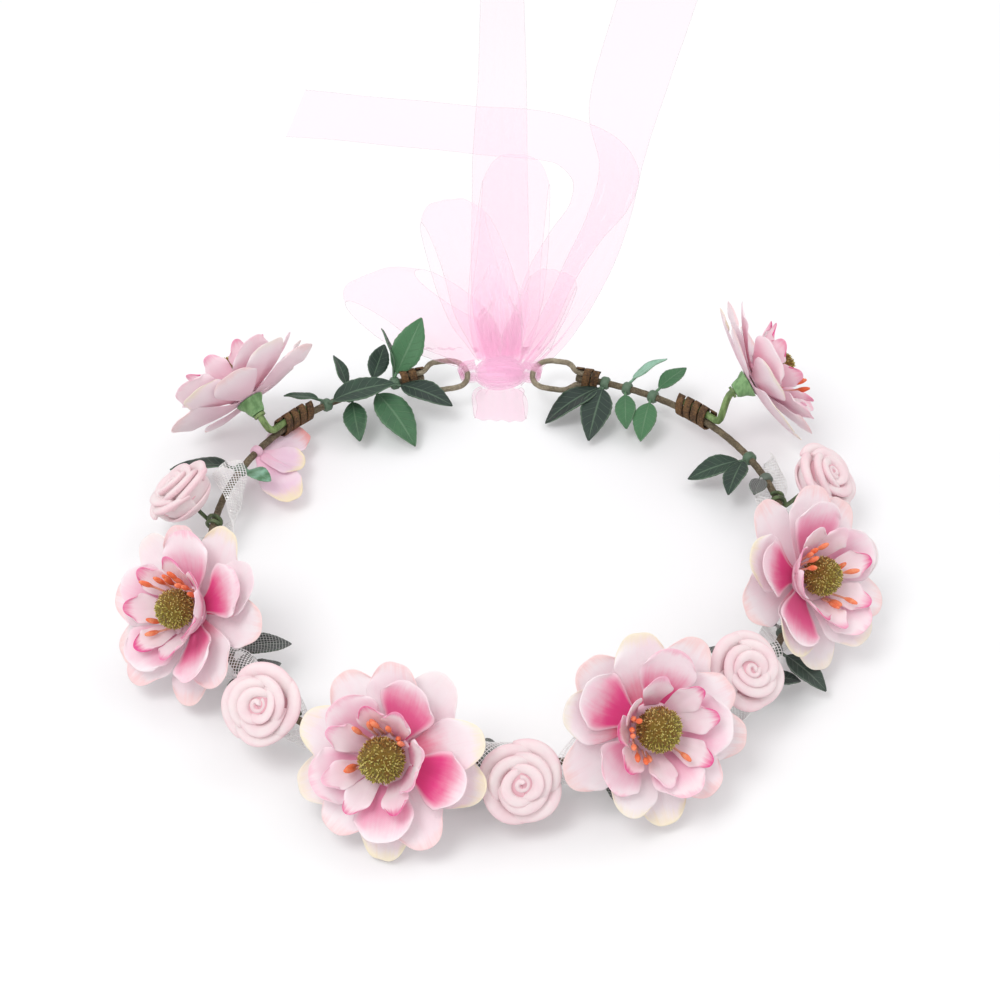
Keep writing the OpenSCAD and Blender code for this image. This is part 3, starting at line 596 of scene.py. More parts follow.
def button(rng, radius, middle, low, fibres, warm_turn):
    """A flocked dome: a lumpy core under short curved fibres."""
    skin = Skin("along", "tint", "warm")
    turns = cols_of(0, 360, 33)
    rise = np.linspace(90, math.degrees(math.asin((low - middle) / radius)), 14)[:, None]
    lump = 1 + 0.03 * np.sin(np.radians(5 * turns)) * np.sin(np.radians(7 * rise))
    r = radius * 0.93 * lump
    # The core takes the colour of the fibres' roots, which is painted shade under the fibres.
    skin.sheet(np.stack([r * cos(rise) * cos(turns), r * cos(rise) * sin(turns), middle + r * sin(rise)], -1),
               0.3, along=0.0, tint=0.3, warm=0.5)
    golden = math.pi * (3 - math.sqrt(5))
    lowest = (low + 1.0 - middle) / radius
    for k in range(fibres):
        h = 1 - (1 - lowest) * (k + 0.5) / fibres
        turn = golden * k + rng.uniform(-0.15, 0.15)
        flat = math.sqrt(max(0.0, 1 - h * h))
        way = np.array([flat * math.cos(turn), flat * math.sin(turn), h])
        bend = rng.normal(0, 0.5, 3)
        root = way * radius * 0.88 + UP * middle
        tip = root + unit(way + bend) * radius * rng.uniform(0.14, 0.24)
        warm = 0.5 + 0.5 * flat * math.cos(turn - math.radians(warm_turn)) - 0.25 * h
        skin.rod([root, mix(root, tip, 0.6) + 0.05 * bend, tip], [0.24, 0.2, 0.1], 5,
                 along=[0.0, 0.6, 1.0], tint=rng.uniform(0, 1), warm=warm)
    return skin


STAMEN = stamen_paint()
FLOCK = button_paint()
# Each head's seed, the turn of its rings, its open side, its outer petals' lift, its button's radius, and its
# bunches of stamens with turn, count, length and splay
HEADS = [
    [11, 0, 20, 0, 180, 1, 6.4, [[-95, 4, 11, 34], [40, 2, 9, 32]]],
    [23, 12, 30, 10, 125, 1, 5.9, [[190, 6, 10, 26], [240, 3, 11, 36], [-20, 2, 9, 36]]],
    [37, 5, 8, 25, 104, 1, 6.5, [[205, 5, 11, 38], [150, 2, 8, 28], [-60, 2, 10, 38]]],
    [41, 34, 40, 5, 207, 3, 6.4, [[-100, 6, 12, 36], [-42, 2, 11, 38], [28, 1, 11, 38]]],
    [59, 28, 15, 15, 234, 6, 5.9, [[-160, 5, 11, 32], [0, 3, 10, 36], [70, 2, 9, 34]]],
    [67, 8, 50, 30, 180, 1, 6.4, [[-70, 4, 12, 36], [20, 3, 10, 36]]],
]
# Rings of petals from the lowest up: name, silk, slot, CAD node, count, whether the lift raises it, the radius,
# height and thickness of its hub, then start, height, length, width, neck, lean, curl, cup, ruffle, spread, point,
# tilt and how much longer its petals are on the open side
RINGS = [
    ["outer", OUTER_SILK, "outer_petal", "outer_petals", 5, 1, [5, 0.7, 0.8],
     [3.5, 0.7, 26.6, 17.8, 4.6, 0, 17, 1.1, 0.5, 4, 0, -2, 0]],
    ["second", SECOND_SILK, "outer_petal", None, 5, 1, [5, 1.9, 0.8],
     [3.5, 1.9, 26.0, 17.6, 4.6, 7, 16, 1.2, 0.6, 5, 0, -3.5, 0.05]],
    ["middle", MIDDLE_SILK, "middle_petal", "middle_petals", 5, 0, [6.8, 3.7, 1.4],
     [5.8, 3.6, 21.0, 17.8, 5, 21, 17, 1.3, 0.8, 7, 0, -8, 0.05]],
    ["inner", INNER_SILK, "inner_petal", "inner_petals", 8, 0, [8.0, 5.8, 0.6],
     [6.8, 5.9, 14.5, 9.2, 4.6, 43, 13, 1.1, 0.7, 8, 0.25, 9, 0]],
]
STAMEN_RING, STAMEN_HEIGHT = 6.9, 6.2
BUTTON_MIDDLE, BUTTON_LOW, BUTTON_FIBRES, BUTTON_WARM_TURN = 10.6, 6.4, 800, 200
for k, (row, head) in enumerate(zip(FLOWERS, HEADS), 1):
    seed, outer_turn, middle_turn, inner_turn, open_turn, lift, button_radius, bunches = head
    rng = np.random.default_rng(seed)
    name, body, place = f"flower_{k}_", f"flower_head_{k}", seat(row)
    way = open_turn - row[5]
    spins = (outer_turn, outer_turn + 36, way + middle_turn - 20, inner_turn)
    for (ring, silk, slot, node, count, raised, hub, shape), spin in zip(RINGS, spins):
        skin = ring_of_petals(rng, count, spin, raised * lift, way, *shape)
        hub_disc(skin, *hub)
        make(skin.moved(place), name + ring, silk, slot, *([name + node] if node else []), body=body, levels=1)
    bunches = [[turn - row[5], *rest] for turn, *rest in bunches]
    threads = stamens(rng, bunches, STAMEN_RING, STAMEN_HEIGHT, way)
    make(threads.moved(place), name + "threads", STAMEN, "stamen_orange", name + "stamens", body=body)
    dome = button(rng, button_radius, BUTTON_MIDDLE, BUTTON_LOW, BUTTON_FIBRES, BUTTON_WARM_TURN - row[5])
    make(dome.moved(place), name + "dome", FLOCK, "button_olive", name + "button", body=body)


# Roses
FOAM = foam_paint()


def foam_petal(skin, rng, radius, height, span, lip, drift, turn, thickness, deep):
    """A thick cupped petal whose rim rolls outward; one side lies under its neighbour."""
    s = rows_of(0, 1, 14)
    a = cols_of(-1, 1, 17)
    foot = 1.8
    top = height * (1 - 0.2 * np.abs(a) ** 2.5)
    wall = np.clip(s / 0.58, 0, 1)
    roll = 140 * np.clip((s - 0.58) / 0.42, 0, 1)
    r = radius - 2.4 * (1 - wall) ** 2 + lip * (1 - cos(roll)) * (1 - 0.4 * a**2) + drift * a
    r = r + 0.3 * np.sin(2 * np.pi * (a * rng.uniform(0.4, 0.8) + rng.uniform(0, 1))) * s
    z = foot + (top - lip - foot) * wall + lip * sin(roll)
    angle = turn + span / 2 * a
    # Its depth value paints shade low in the cup near the foot; it also makes the petal a little pinker where the lip
    # rolls over.
    skin.sheet(np.stack([r * cos(angle) + rng.uniform(-0.4, 0.4), r * sin(angle) + rng.uniform(-0.4, 0.4), z], -1),
               thickness, depth=deep * (1 - smooth(0.3, 0.7, s)) + 0.4 * smooth(0.82, 1.0, s))


def foam_rose(seed):
    """A rolled bud inside three rings of broad soft petals, on a shallow dish, with foam filling the folds."""
    rng = np.random.default_rng(seed)
    skin = Skin("depth")
    turns = cols_of(0, 1, 44)
    s = rows_of(0, 1, 8)
    angle = 420 * turns + rng.uniform(0, 360)
    r = (0.8 + 1.9 * turns**0.85) * (1 - 0.2 * smooth(0.6, 1.0, s)) - 0.7 * (1 - s) ** 2
    top = 13.6 - 0.9 * turns + 0.4 * np.sin(np.radians(angle * 0.7))
    # Painted shade: the bud is pinker low down.
    skin.sheet(polar(r, angle, 2.5 + (top - 2.5) * s), 1.5, depth=0.8 * (1 - smooth(0.5, 0.95, s)))
    for count, radius, height, span, lip, drift in (
        (2, 3.7, 13.2, 225, 1.1, 0.8),
        (3, 5.7, 11.9, 165, 1.7, 1.0),
        (4, 8.3, 9.4, 126, 2.2, 0.9),
    ):
        turn = rng.uniform(0, 360)
        for k in range(count):
            # Inner rings get more painted shade at their feet.
            foam_petal(skin, rng, radius, height + rng.uniform(-0.5, 0.5), span, lip * rng.uniform(0.9, 1.15), drift,
                       turn + 360 * k / count + rng.uniform(-9, 9), 2.0, 0.9 - 0.33 * (count - 2))
    turns = cols_of(0, 360, 33)
    fill = spline([[0.05, 12.0], [2.4, 11.8], [4.0, 10.9], [5.8, 9.2], [7.6, 7.2], [8.6, 5.6]], 4)[:, :, None]
    # Painted shade: the foam that fills the folds is pinker, as it lies deep between the petals.
    skin.sheet(polar(fill[:, 0], turns, fill[:, 1]), 0.9, depth=0.75)
    s = rows_of(0, 1, 6)
    r = 3.2 + 6.0 * s**0.7
    # A little painted shade on the dish under the petals.
    skin.sheet(polar(r, turns, 0.5 + 3.2 * s**1.4), 0.9, depth=0.3)
    return skin


for k, row in enumerate(ROSES, 1):
    rose = foam_rose(100 + k).moved(seat(row))
    rose = make(rose, f"rose_{k}_foam", FOAM, "rose_foam", f"rose_{k}", levels=1)


# Leaves: place along the band, then for each leaf its azimuth, elevation, twist, length and hue.
# The left and right sprays are placed by millimetres from the band's end, the front one by band angle
LEFT_WHORLS = [
    [10.6, [[42, 56, 40, 21, 0.8], [100, 62, 80, 16, 0.3], [-27, 9, 0, 20, 0.1]]],
    [18.8, [[70, 30, 20, 14, 0.15], [-55, -2, 0, 24, 0.5]]],
    [27.7, [[110, 35, 40, 12, 0.2], [-80, -6, 10, 16, 0.4]]],
    [36.7, [[15, 22, 0, 22, 0.2], [175, 12, 20, 12, 0.3]]],
    [80, [[175, 8, 20, 20, 0.15], [-45, 20, 0, 12, 0.95]]],
]
RIGHT_WHORLS = [
    [10.6, [[205, -6, 10, 22, 0.05], [-105, -4, 0, 21, 0.1]]],
    [18.8, [[30, 28, -30, 14, 1.0], [-92, -6, 10, 14, 0.6]]],
    [28.6, [[-105, -6, 10, 16, 0.75], [40, 20, 0, 13, 0.6]]],
    [73.4, [[-170, -6, 0, 18, 0.2], [-115, 5, 20, 16, 0.15]]],
]
FRONT_WHORLS = [
    [209, [[8, 10, 0, 16, 0.1]]],
    [215, [[96, -14, 0, 11, 0.0], [40, -14, 0, 11, 0.05], [276, 8, 0, 11, 0.0]]],
    [246, [[-130, -6, 0, 18, 0.05], [180, -14, 0, 14, 0.0]]],
    [267, [[84, -14, 0, 11, 0.0]]],
    [270, [[204, -14, 0, 12, 0.05], [0, 20, 0, 12, 0.0]]],
    [290, [[-80, -6, 0, 14, 0.1], [192, -14, 0, 11, 0.0]]],
    [325, [[144, 8, 0, 14, 0.0], [12, -14, 0, 11, 0.2]]],
    [332, [[-40, -8, 0, 16, 0.3]]],
    [337, [[180, 45, 0, 11, 0.0]]],
    [364, [[0, -4, 0, 17, 0.1]]],
    [381, [[252, 20, 0, 11, 0.05]]],
]
LEAF_SLIMNESS = 0.45
LEAF_BEND = 42.0
LEAF_THICKNESS = 0.4
COLLAR_RADIUS = WIRE_RADIUS + SEAT_GAP + 0.8
LEAF = leaf_paint("leaf_green", "#283731", "#46754e", "#94bfa9", "#86a586")
NETTED_LEAF = leaf_paint("netted_leaf", "#2a322f", "#435c4b", "#7d9a8b", "#8fa08f", 0.55)


def leaf(skin, rng, matrix, length, tint):
    """A toothed leaf on its stalk, creased along the midrib and bent down to its tip."""
    s = rows_of(0, 1, 23)
    t = cols_of(-1, 1, 9)
    width = length * LEAF_SLIMNESS * 1.14
    half = width / 2 * (np.sin(np.pi * s**0.92) ** 0.8) + 0.12
    tooth = 1 + 0.07 * np.abs(t) ** 6 * (np.mod(s * 9, 1.0) - 0.5) * smooth(0.12, 0.3, s)
    x = length * (s - 0.1 * np.abs(t) ** 2 * s * (1 - s))
    y = half * t * tooth
    z = -x**2 / (2 * LEAF_BEND) + 0.16 * np.abs(y) + 0.3 * np.sin(2 * np.pi * (s * 1.3 + rng.uniform(0, 1))) * t**2
    grid = placed(np.stack([x + 2, y, z + 0.3], -1), matrix)
    skin.sheet(grid, LEAF_THICKNESS, along=s, side=t, tint=tint)
    stalk = np.array([[-0.5, 0, 0], [1.5, 0, 0.05], [3, 0, 0.1], [4.5, 0, 0.08]])
    skin.rod(placed(stalk, matrix), [0.6, 0.5, 0.42, 0.3], 8, along=0.0, side=1.0, tint=tint)


def collar(skin, angle, **values):
    """The moulded ring on the wire that carries leaves or petals."""
    t = ring_tangent(angle)
    middle = ring_point(angle)
    skin.rod([middle - 1.5 * t, middle - 0.9 * t, middle + 0.9 * t, middle + 1.5 * t],
             [COLLAR_RADIUS * 0.8, COLLAR_RADIUS, COLLAR_RADIUS, COLLAR_RADIUS * 0.8], 14, **values)


def on_collar(angle, azimuth, rise, twist):
    """The matrix that stands a blade on the collar at a band angle."""
    t = ring_tangent(angle)
    way = np.array([cos(rise) * cos(azimuth), cos(rise) * sin(azimuth), sin(rise)])
    start = ring_point(angle) + (COLLAR_RADIUS - 0.4) * unit(way - (way @ t) * t)
    return standing(start, ("Z", azimuth), ("Y", -rise), ("X", twist))


def spray(rows, seed):
    rng = np.random.default_rng(seed)
    skin = Skin("along", "side", "tint")
    for angle, blades in rows:
        collar(skin, angle, along=0.0, side=1.0, tint=0.2)
        for azimuth, rise, twist, length, hue in blades:
            leaf(skin, rng, on_collar(angle, azimuth, rise, twist), length, hue)
    return skin


LEFT_ROWS = [[BAND_START + degrees_for(run), blades] for run, blades in LEFT_WHORLS]
RIGHT_ROWS = [[BAND_END - degrees_for(run), blades] for run, blades in RIGHT_WHORLS]
for name, rows, seed in (("left", LEFT_ROWS, 5), ("right", RIGHT_ROWS, 6), ("front", FRONT_WHORLS, 7)):
    make(spray(rows, seed), f"leaves_{name}", NETTED_LEAF if name == "front" else LEAF, "leaf_green",
         f"leaf_spray_{name}")

# Petals tucked under the band beside the first flower: azimuth, elevation, twist and length
TUCKED_PETALS = [[48, -14, 0, 22], [-10, -16, 0, 15.5], [-58, -16, 0, 24]]
TUCKED_WIDTH = 15.0
TUCKED_ANGLE = FLOWERS[0][0] - FLOWERS[0][6] * degrees_for(7.5)
# Painted shade: this silk is a darker, lilac copy of the outer petals' colours, for petals that lie in shade under the
# band and the first flower.
SHADED_TUCKED_SILK = petal_paint("tucked_petal", "#f7c9de", "#f7c9de", -0.1, 0.5, "#fdeef6", "#f6dcec",
                          "#faf0cd", "#f7b9b6", 0.7)
rng = np.random.default_rng(10)
tucked = Skin(*SILK_VALUES)
collar(tucked, TUCKED_ANGLE, along=0.1, side=0.0, tint=0.5)
for (azimuth, rise, twist, length), tint in zip(TUCKED_PETALS, (0.9, 0.4, 0.3)):
    grid, values = petal(rng, length, TUCKED_WIDTH, 5, 0, 16, 1.2, 0.4)
    tucked.sheet(placed(grid, on_collar(TUCKED_ANGLE, azimuth, rise, twist)), PETAL_THICKNESS, tint=tint, **values)
make(tucked, "tucked", SHADED_TUCKED_SILK, "outer_petal", "tucked_petals", levels=1)


# Wire, tie loops and tape
WIRE_TAPE = tape_paint("wire_tape", "#4f4433", "#7d7058", 1500.0)
LOOP_WIRE = tape_paint("loop_wire", "#6f6450", "#a59a84", 1500.0)
TAPE = tape_paint("binding_tape", "#3b2613", "#7c5a34", 1300.0)
STEM = stem_paint("stem_green", "#5b7440", "#84a063")
ROSE_STEM = stem_paint("rose_stem", "#3f4d31", "#5d7048")
CALYX = stem_paint("calyx_green", "#5f8a53", "#86b077")

STEM_RADIUS = 1.25
CALYX_LENGTH = 5.5
STEM_BEND = 3.0
STEM_FOOT = 0.9 + SEAT_GAP
STEM_DROP = CALYX_LENGTH + STEM_FOOT + STEM_BEND
STEM_REACH = WIRE_RADIUS + STEM_RADIUS + SEAT_GAP
TAPE_WIDTH = 2.6
TAPE_THICKNESS = 0.5
TAPE_SPACE = 0.6
TAPE_PITCH = TAPE_WIDTH + TAPE_SPACE
TAPE_SLACK = 0.5
TAPE_LEAD = 1.0
TAPE_TURNS = 4
LOOP_TURNS = 2
LOOP_RADIUS = 1.0
LOOP_LENGTH = 16.0
LOOP_WIDTH = 14.0
LOOP_LEG = 7.0
LOOP_TILT = 90.0
LOOP_TILT_RUN = 6.0
LOOP_FULLNESS = 0.62
LOOP_REACH = WIRE_RADIUS + LOOP_RADIUS + SEAT_GAP


def wrapped(skin, path, radius, pitch):
    """A wire under a spiral of tape: the rod swells along each turn of the tape."""
    path = np.asarray(path, float)
    run = run_along(path)
    skin.rod(path, radius, 12)
    ring = skin.points[-1].reshape(len(path), 12, 3)
    turn = np.arange(12)[None, :] / 12 + run[:, None] / pitch
    swell = 1 + 0.09 * (np.mod(turn, 1.0) - 0.5)
    middle = ring.mean(axis=1, keepdims=True)
    skin.points[-1] = (middle + (ring - middle) * swell[:, :, None]).reshape(-1, 3)


band = Skin()
wrapped(band, [ring_point(a) for a in np.linspace(BAND_START, BAND_END, 500)], WIRE_RADIUS, 4.5)
make(band, "band", WIRE_TAPE, "wire_tape", "band_wire")


def loop_point(end, way, along, rise):
    t = -way * ring_tangent(end)
    lean = LOOP_TILT * min(1.0, max(0.0, along / LOOP_TILT_RUN))
    side = cos(lean) * UP + sin(lean) * ring_out(end)
    return ring_point(end) + along * t + rise * side


def eased(rows, times):
    """A line with its small bends smoothed away and its ends kept."""
    p = np.asarray(rows, float)
    for _ in range(times):
        p[1:-1] = (p[:-2] + 2 * p[1:-1] + p[2:]) / 4
    return p


def loop_path(end, way):
    legs = [end + way * degrees_for(LOOP_LEG * (1 - s)) for s in np.linspace(0, 0.8, 5)]
    rows = [beside(a, LOOP_REACH, 90) for a in legs]
    for turn in np.linspace(0, 360, 40):
        rows.append(loop_point(end, way, LOOP_LENGTH * (1 - cos(turn)) / 2,
                               LOOP_REACH * cos(turn / 2) + LOOP_WIDTH * LOOP_FULLNESS * sin(turn) * sin(turn / 2)))
    return rows + [beside(a, LOOP_REACH, -90) for a in legs[::-1]]


for name, (end, way) in zip(("left", "right"), ENDS):
    loop = Skin()
    wrapped(loop, spline(eased(loop_path(end, way), 6), 4), LOOP_RADIUS, 3.5)
    make(loop, f"{name}_loop", LOOP_WIRE, "loop_wire", f"{name}_tie_loop")


def stem_angle(row, along):
    return row[0] + row[6] * degrees_for(along)


def winding(skin, turns, start, way, reach, roll, long_half, short_half, rng):
    """Tape wound round the wire and what lies beside it."""
    steps = np.arange(turns * 40 + 1)
    across = np.linspace(-0.5, 0.5, 5)
    grid = np.zeros((len(steps), len(across), 3))
    ripple = rng.uniform(0, 2 * np.pi, 3)
    for i in steps:
        turn = 360 * i / 40
        along = TAPE_WIDTH / 2 + TAPE_PITCH * i / 40
        for j, share in enumerate(across):
            a = start + way * degrees_for(along + share * TAPE_WIDTH)
            u = beside(a, 1, roll) - ring_point(a)
            w = np.cross(ring_tangent(a), u)
            crepe = 0.1 * math.sin(0.9 * i + ripple[0]) * share + 0.06 * math.sin(2.3 * i + ripple[1])
            grid[i, j] = (beside(a, reach, roll) + (long_half + crepe) * cos(turn) * u
                          + (short_half + crepe) * sin(turn) * w)
    skin.sheet(grid, TAPE_THICKNESS)


bindings = Skin()
rng = np.random.default_rng(8)
for row in FLOWERS:
    winding(bindings, TAPE_TURNS, stem_angle(row, STEM_BEND + TAPE_LEAD), row[6], STEM_REACH / 2,
            roll_of(row, STEM_DROP), STEM_RADIUS + WIRE_RADIUS + SEAT_GAP * 1.5 + TAPE_THICKNESS / 2 + TAPE_SLACK,
            max(STEM_RADIUS, WIRE_RADIUS) + SEAT_GAP + TAPE_THICKNESS / 2 + TAPE_SLACK, rng)
for end, way in ENDS:
    winding(bindings, LOOP_TURNS, end, way, 0, 90,
            WIRE_RADIUS + 2 * LOOP_RADIUS + 2 * SEAT_GAP + TAPE_THICKNESS / 2 + TAPE_SLACK,
            WIRE_RADIUS + SEAT_GAP + TAPE_THICKNESS / 2 + TAPE_SLACK, rng)
make(bindings, "bindings", TAPE, "binding_tape", "tape_bindings")

# CAD nodes that are shown as they are
PLAIN_NODES = {"rose_stems": ROSE_STEM}
for k in range(1, len(FLOWERS) + 1):
    PLAIN_NODES.update({f"flower_stem_{k}": STEM, f"flower_{k}_calyx": CALYX})
for node, paint in PLAIN_NODES.items():
    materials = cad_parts[node].data.materials
    materials.clear()
    materials.append(paint)


# Tulle: a dotted net strip wound round the front of the band
ROSE_HANDLE = 2.0
TULLE_REACH = 6.4
TULLE_WIDTH = 11.0
NET_CELL = 0.95
NET_THREAD = 0.27


# Where the strip passes what stands on the wire: band angle and roll. It makes a turn from each to the next,
# roses and flowers by turns
TULLE_ENDS = [[158, 60], [331, 2680], [386, 3250]]
TULLE_PASSES = [(ROSES[k // 2], ROSE_HANDLE) if k % 2 == 0 else (FLOWERS[k // 2 + 1], STEM_DROP) for k in range(9)]
TULLE_STOPS = np.array(sorted(TULLE_ENDS + [[row[0], 180 + 360 * k + roll_of(row, drop)]
                                            for k, (row, drop) in enumerate(TULLE_PASSES)]))


def tulle_roll(a):
    return float(np.interp(a, TULLE_STOPS[:, 0], TULLE_STOPS[:, 1]))


def tulle_point(a, half, lift):
    """A point of the strip: half is the way across it, in millimetres from its middle line."""
    turning = tulle_roll(a + 1) - tulle_roll(a - 1)
    along = 2 / degrees_for(1)
    around = TULLE_REACH * math.radians(turning)
    slope = math.hypot(along, around)
    return beside(a + degrees_for(half * around / slope), TULLE_REACH + lift,
                  tulle_roll(a) - math.degrees(half * along / slope / TULLE_REACH))


def tulle(rng):
    """The net's threads as fine rods along and across the strip, and its sewn dots."""
    fine = np.linspace(TULLE_STOPS[0, 0], TULLE_STOPS[-1, 0], 900)
    middle = np.array([tulle_point(a, 0, 0) for a in fine])
    run = run_along(middle)
    count = int(run[-1] / NET_CELL)
    angles = np.interp(np.linspace(0, run[-1], count), run, fine)
    halves = np.linspace(-TULLE_WIDTH / 2, TULLE_WIDTH / 2, int(TULLE_WIDTH / NET_CELL) + 1)
    phase = rng.uniform(0, 2 * np.pi, 4)
    grid = np.zeros((count, len(halves), 3))
    for i, a in enumerate(angles):
        for j, half in enumerate(halves):
            edge = abs(half) / (TULLE_WIDTH / 2)
            lift = 0.5 * edge * math.sin(0.45 * i + phase[0] + half * 0.2) + 0.25 * math.sin(0.17 * i + phase[1])
            grid[i, j] = tulle_point(a, half, lift)
    skin = Skin()
    for j in range(len(halves)):
        skin.rod(grid[:, j], NET_THREAD / 2, 4)
    for i in range(count):
        skin.rod(grid[i], NET_THREAD / 2, 4)
    normal = normals(grid)
    for i in range(3, count - 3, 5):
        j = int(rng.integers(1, len(halves) - 1))
        spot, n = grid[i, j], normal[i, j]
        skin.rod([spot - 0.22 * n, spot - 0.12 * n, spot + 0.12 * n, spot + 0.22 * n], [0.35, 0.55, 0.55, 0.35], 8)
    return skin, run[-1]


net, net_length = tulle(np.random.default_rng(9))
net = make(net, "tulle", net_paint(), "tulle_white", "tulle_wrap")


# Ribbon: knot, bow loops and tails
KNOT_LENGTH = 9.0
KNOT_DEPTH = 5.0
KNOT_HEIGHT = 6.0
KNOT_MIDDLE = np.array([0.0, HALF_DEPTH, 0.0])
RIBBON_SEAT = SEAT_GAP + 0.25
KNOT_TURNS = 3
PLEATS = 7
PLEAT_DEPTH = 0.06
BOW_NECK = 9.0
BOW_OPENING = 8.0
BOW_FULLNESS = 0.62
BOW_THROAT = 0.35
BOW_ROUNDING = 0.14
BOW_SHIFT = 0.1
# Bow loops: where they leave the knot with the height off it, azimuth, length, height, far rise, width
BOW_LOOPS = [
    [[-0.68, 60, 1], 129, 72, 7, -5, 36],
    [[0, 75, 0.4], 104, 86, 8, 10, 28],
    [[0, 6, 0], 87, 142, 6, -4, 30],
    [[0.68, 60, 0.5], 72, 52, 8, 2, 20],
    [[0, 200, 0.3], 270, 13, 4, -4, 20],
]
# Tails: where they leave the knot and their width there, then points from its middle with the width
TAILS = [
    [[0, -18, 8], [[0, 33, -4, 18], [0, 68, -7, 22], [0, 125, -8.1, 22.5], [0, 152, -8.1, 22.5], [1, 214, -8.1, 21],
                   [1, 288, -8.1, 20], [1, 333, -8.1, 20]]],
    [[0.3, -40, 8], [[12, 38, -7, 16], [20, 72, -9.2, 20], [30, 98, -9.2, 22], [40, 120, -9.2, 24],
                     [43, 142, -9.2, 28], [34, 162, -9.2, 33], [14, 172, -9.2, 36], [-10, 176, -9.2, 37],
                     [-45, 182, -9.2, 37], [-87, 189, -9.2, 36]]],
    [[0.55, -60, 6], [[20, 36, -8.5, 14], [34, 78, -10.1, 18], [44, 115, -10.1, 17], [50, 150, -10.1, 18],
                      [54, 199, -10.1, 31], [72, 286, -10.1, 36], [82, 333, -10.1, 37]]],
]
# Gathers, the plies that lie behind the knot and open into the loops and tails: reach, width, first and last height
GATHERS = [[44, 18, 2.5, 1.0], [58, 21, 0.0, 4.5], [34, 16, -2.5, 7.0], [24, 17, -4.0, -5.5]]
RIBBON_WIDTH = 38.0
HEM_RADIUS = 0.14
EAR_RADIUS = LOOP_RADIUS + 1.6
EAR_WIDTH = 5.0
# Shares of the ribbon's breadth that pleats take up in the loops and tails, and in the ears
TAKEN_UP = 0.88
EAR_TAKEN_UP = 0.4
# How much longer a wave is than its run, by the slope where it crosses its middle
PLEAT_SLOPES = np.linspace(0, 16, 321)
PLEAT_WAVE = np.cos(np.linspace(0, 2 * np.pi, 240, endpoint=False))
PLEAT_STRETCH = np.sqrt(1 + np.outer(PLEAT_SLOPES, PLEAT_WAVE) ** 2).mean(axis=1)
LOOP_SHEER = sheer_paint("ribbon_loops", "#ff9ccd", "#ffc8e2", 0.2)
TAIL_SHEER = sheer_paint("ribbon_tails", "#ff9ed0", "#ffd2ea", 0.26, 240.0)
GATHERED = sheer_paint("ribbon_gathered", "#ffb0da", "#ffe4f2", 0.3)
HEM = sheer_paint("ribbon_hem", "#e3bccd", "#dccad2", 0.28)


def knot_swell(x):
    return np.sqrt(1.02 - x * x) * 0.9 + 0.1


def knot_point(x, turn, off):
    r = knot_swell(x) * (1 + PLEAT_DEPTH * cos(PLEATS * turn))
    return np.array([x * KNOT_LENGTH, (KNOT_DEPTH * r + off) * cos(turn), (KNOT_HEIGHT * r + off) * sin(turn)])


def pleats(t, width, waves, cloth, phase):
    """The rise of pleats that take a breadth of cloth into a smaller width, at t from -1 to 1 across it."""
    depth = np.interp(cloth / width, PLEAT_STRETCH, PLEAT_SLOPES) * width / (2 * np.pi * waves)
    return depth * np.sin(np.pi * waves * t + phase)


def strip_length(grid):
    """The length of a strip along its middle."""
    return run_along(grid.mean(axis=1))[-1]


def ribbon(skin, path, across, widths, rng, pucker, taken_up, low=None):
    """A strip of ribbon whose pleats take up its breadth where it narrows."""
    path, across = np.asarray(path, float), np.asarray(across, float)
    along = headings(path)
    across = across - (across * along).sum(1, keepdims=True) * along
    across /= np.linalg.norm(across, axis=1, keepdims=True)
    over = np.cross(along, across)
    t = cols_of(-1, 1, 46)
    widths = np.asarray(widths, float)[:, None]
    run = run_along(path)[:, None]
    phase = rng.uniform(0, 2 * np.pi, 4)
    fold = pleats(t, widths, 4.5, taken_up * RIBBON_WIDTH, phase[0] + 0.02 * run)
    sway = pucker * (0.5 * np.sin(0.06 * run + phase[1] + 1.2 * t) + 0.35 * np.sin(0.13 * run + phase[2] - 2 * t))
    grid = (path[:, None, :] + (widths / 2 * t)[:, :, None] * across[:, None, :]
            + (fold + sway)[:, :, None] * over[:, None, :])
    if low is not None:
        grid[..., 2] = np.maximum(grid[..., 2], low)
    skin.veil(grid, far=from_knot(grid))
    return grid


def from_knot(points):
    return np.linalg.norm(points - KNOT_MIDDLE, axis=-1)


def hem(skin, grid):
    """The woven edges of a strip, as fine cords."""
    for j in (0, -1):
        skin.rod(grid[:, j], HEM_RADIUS, 4, far=from_knot(grid[:, j]))


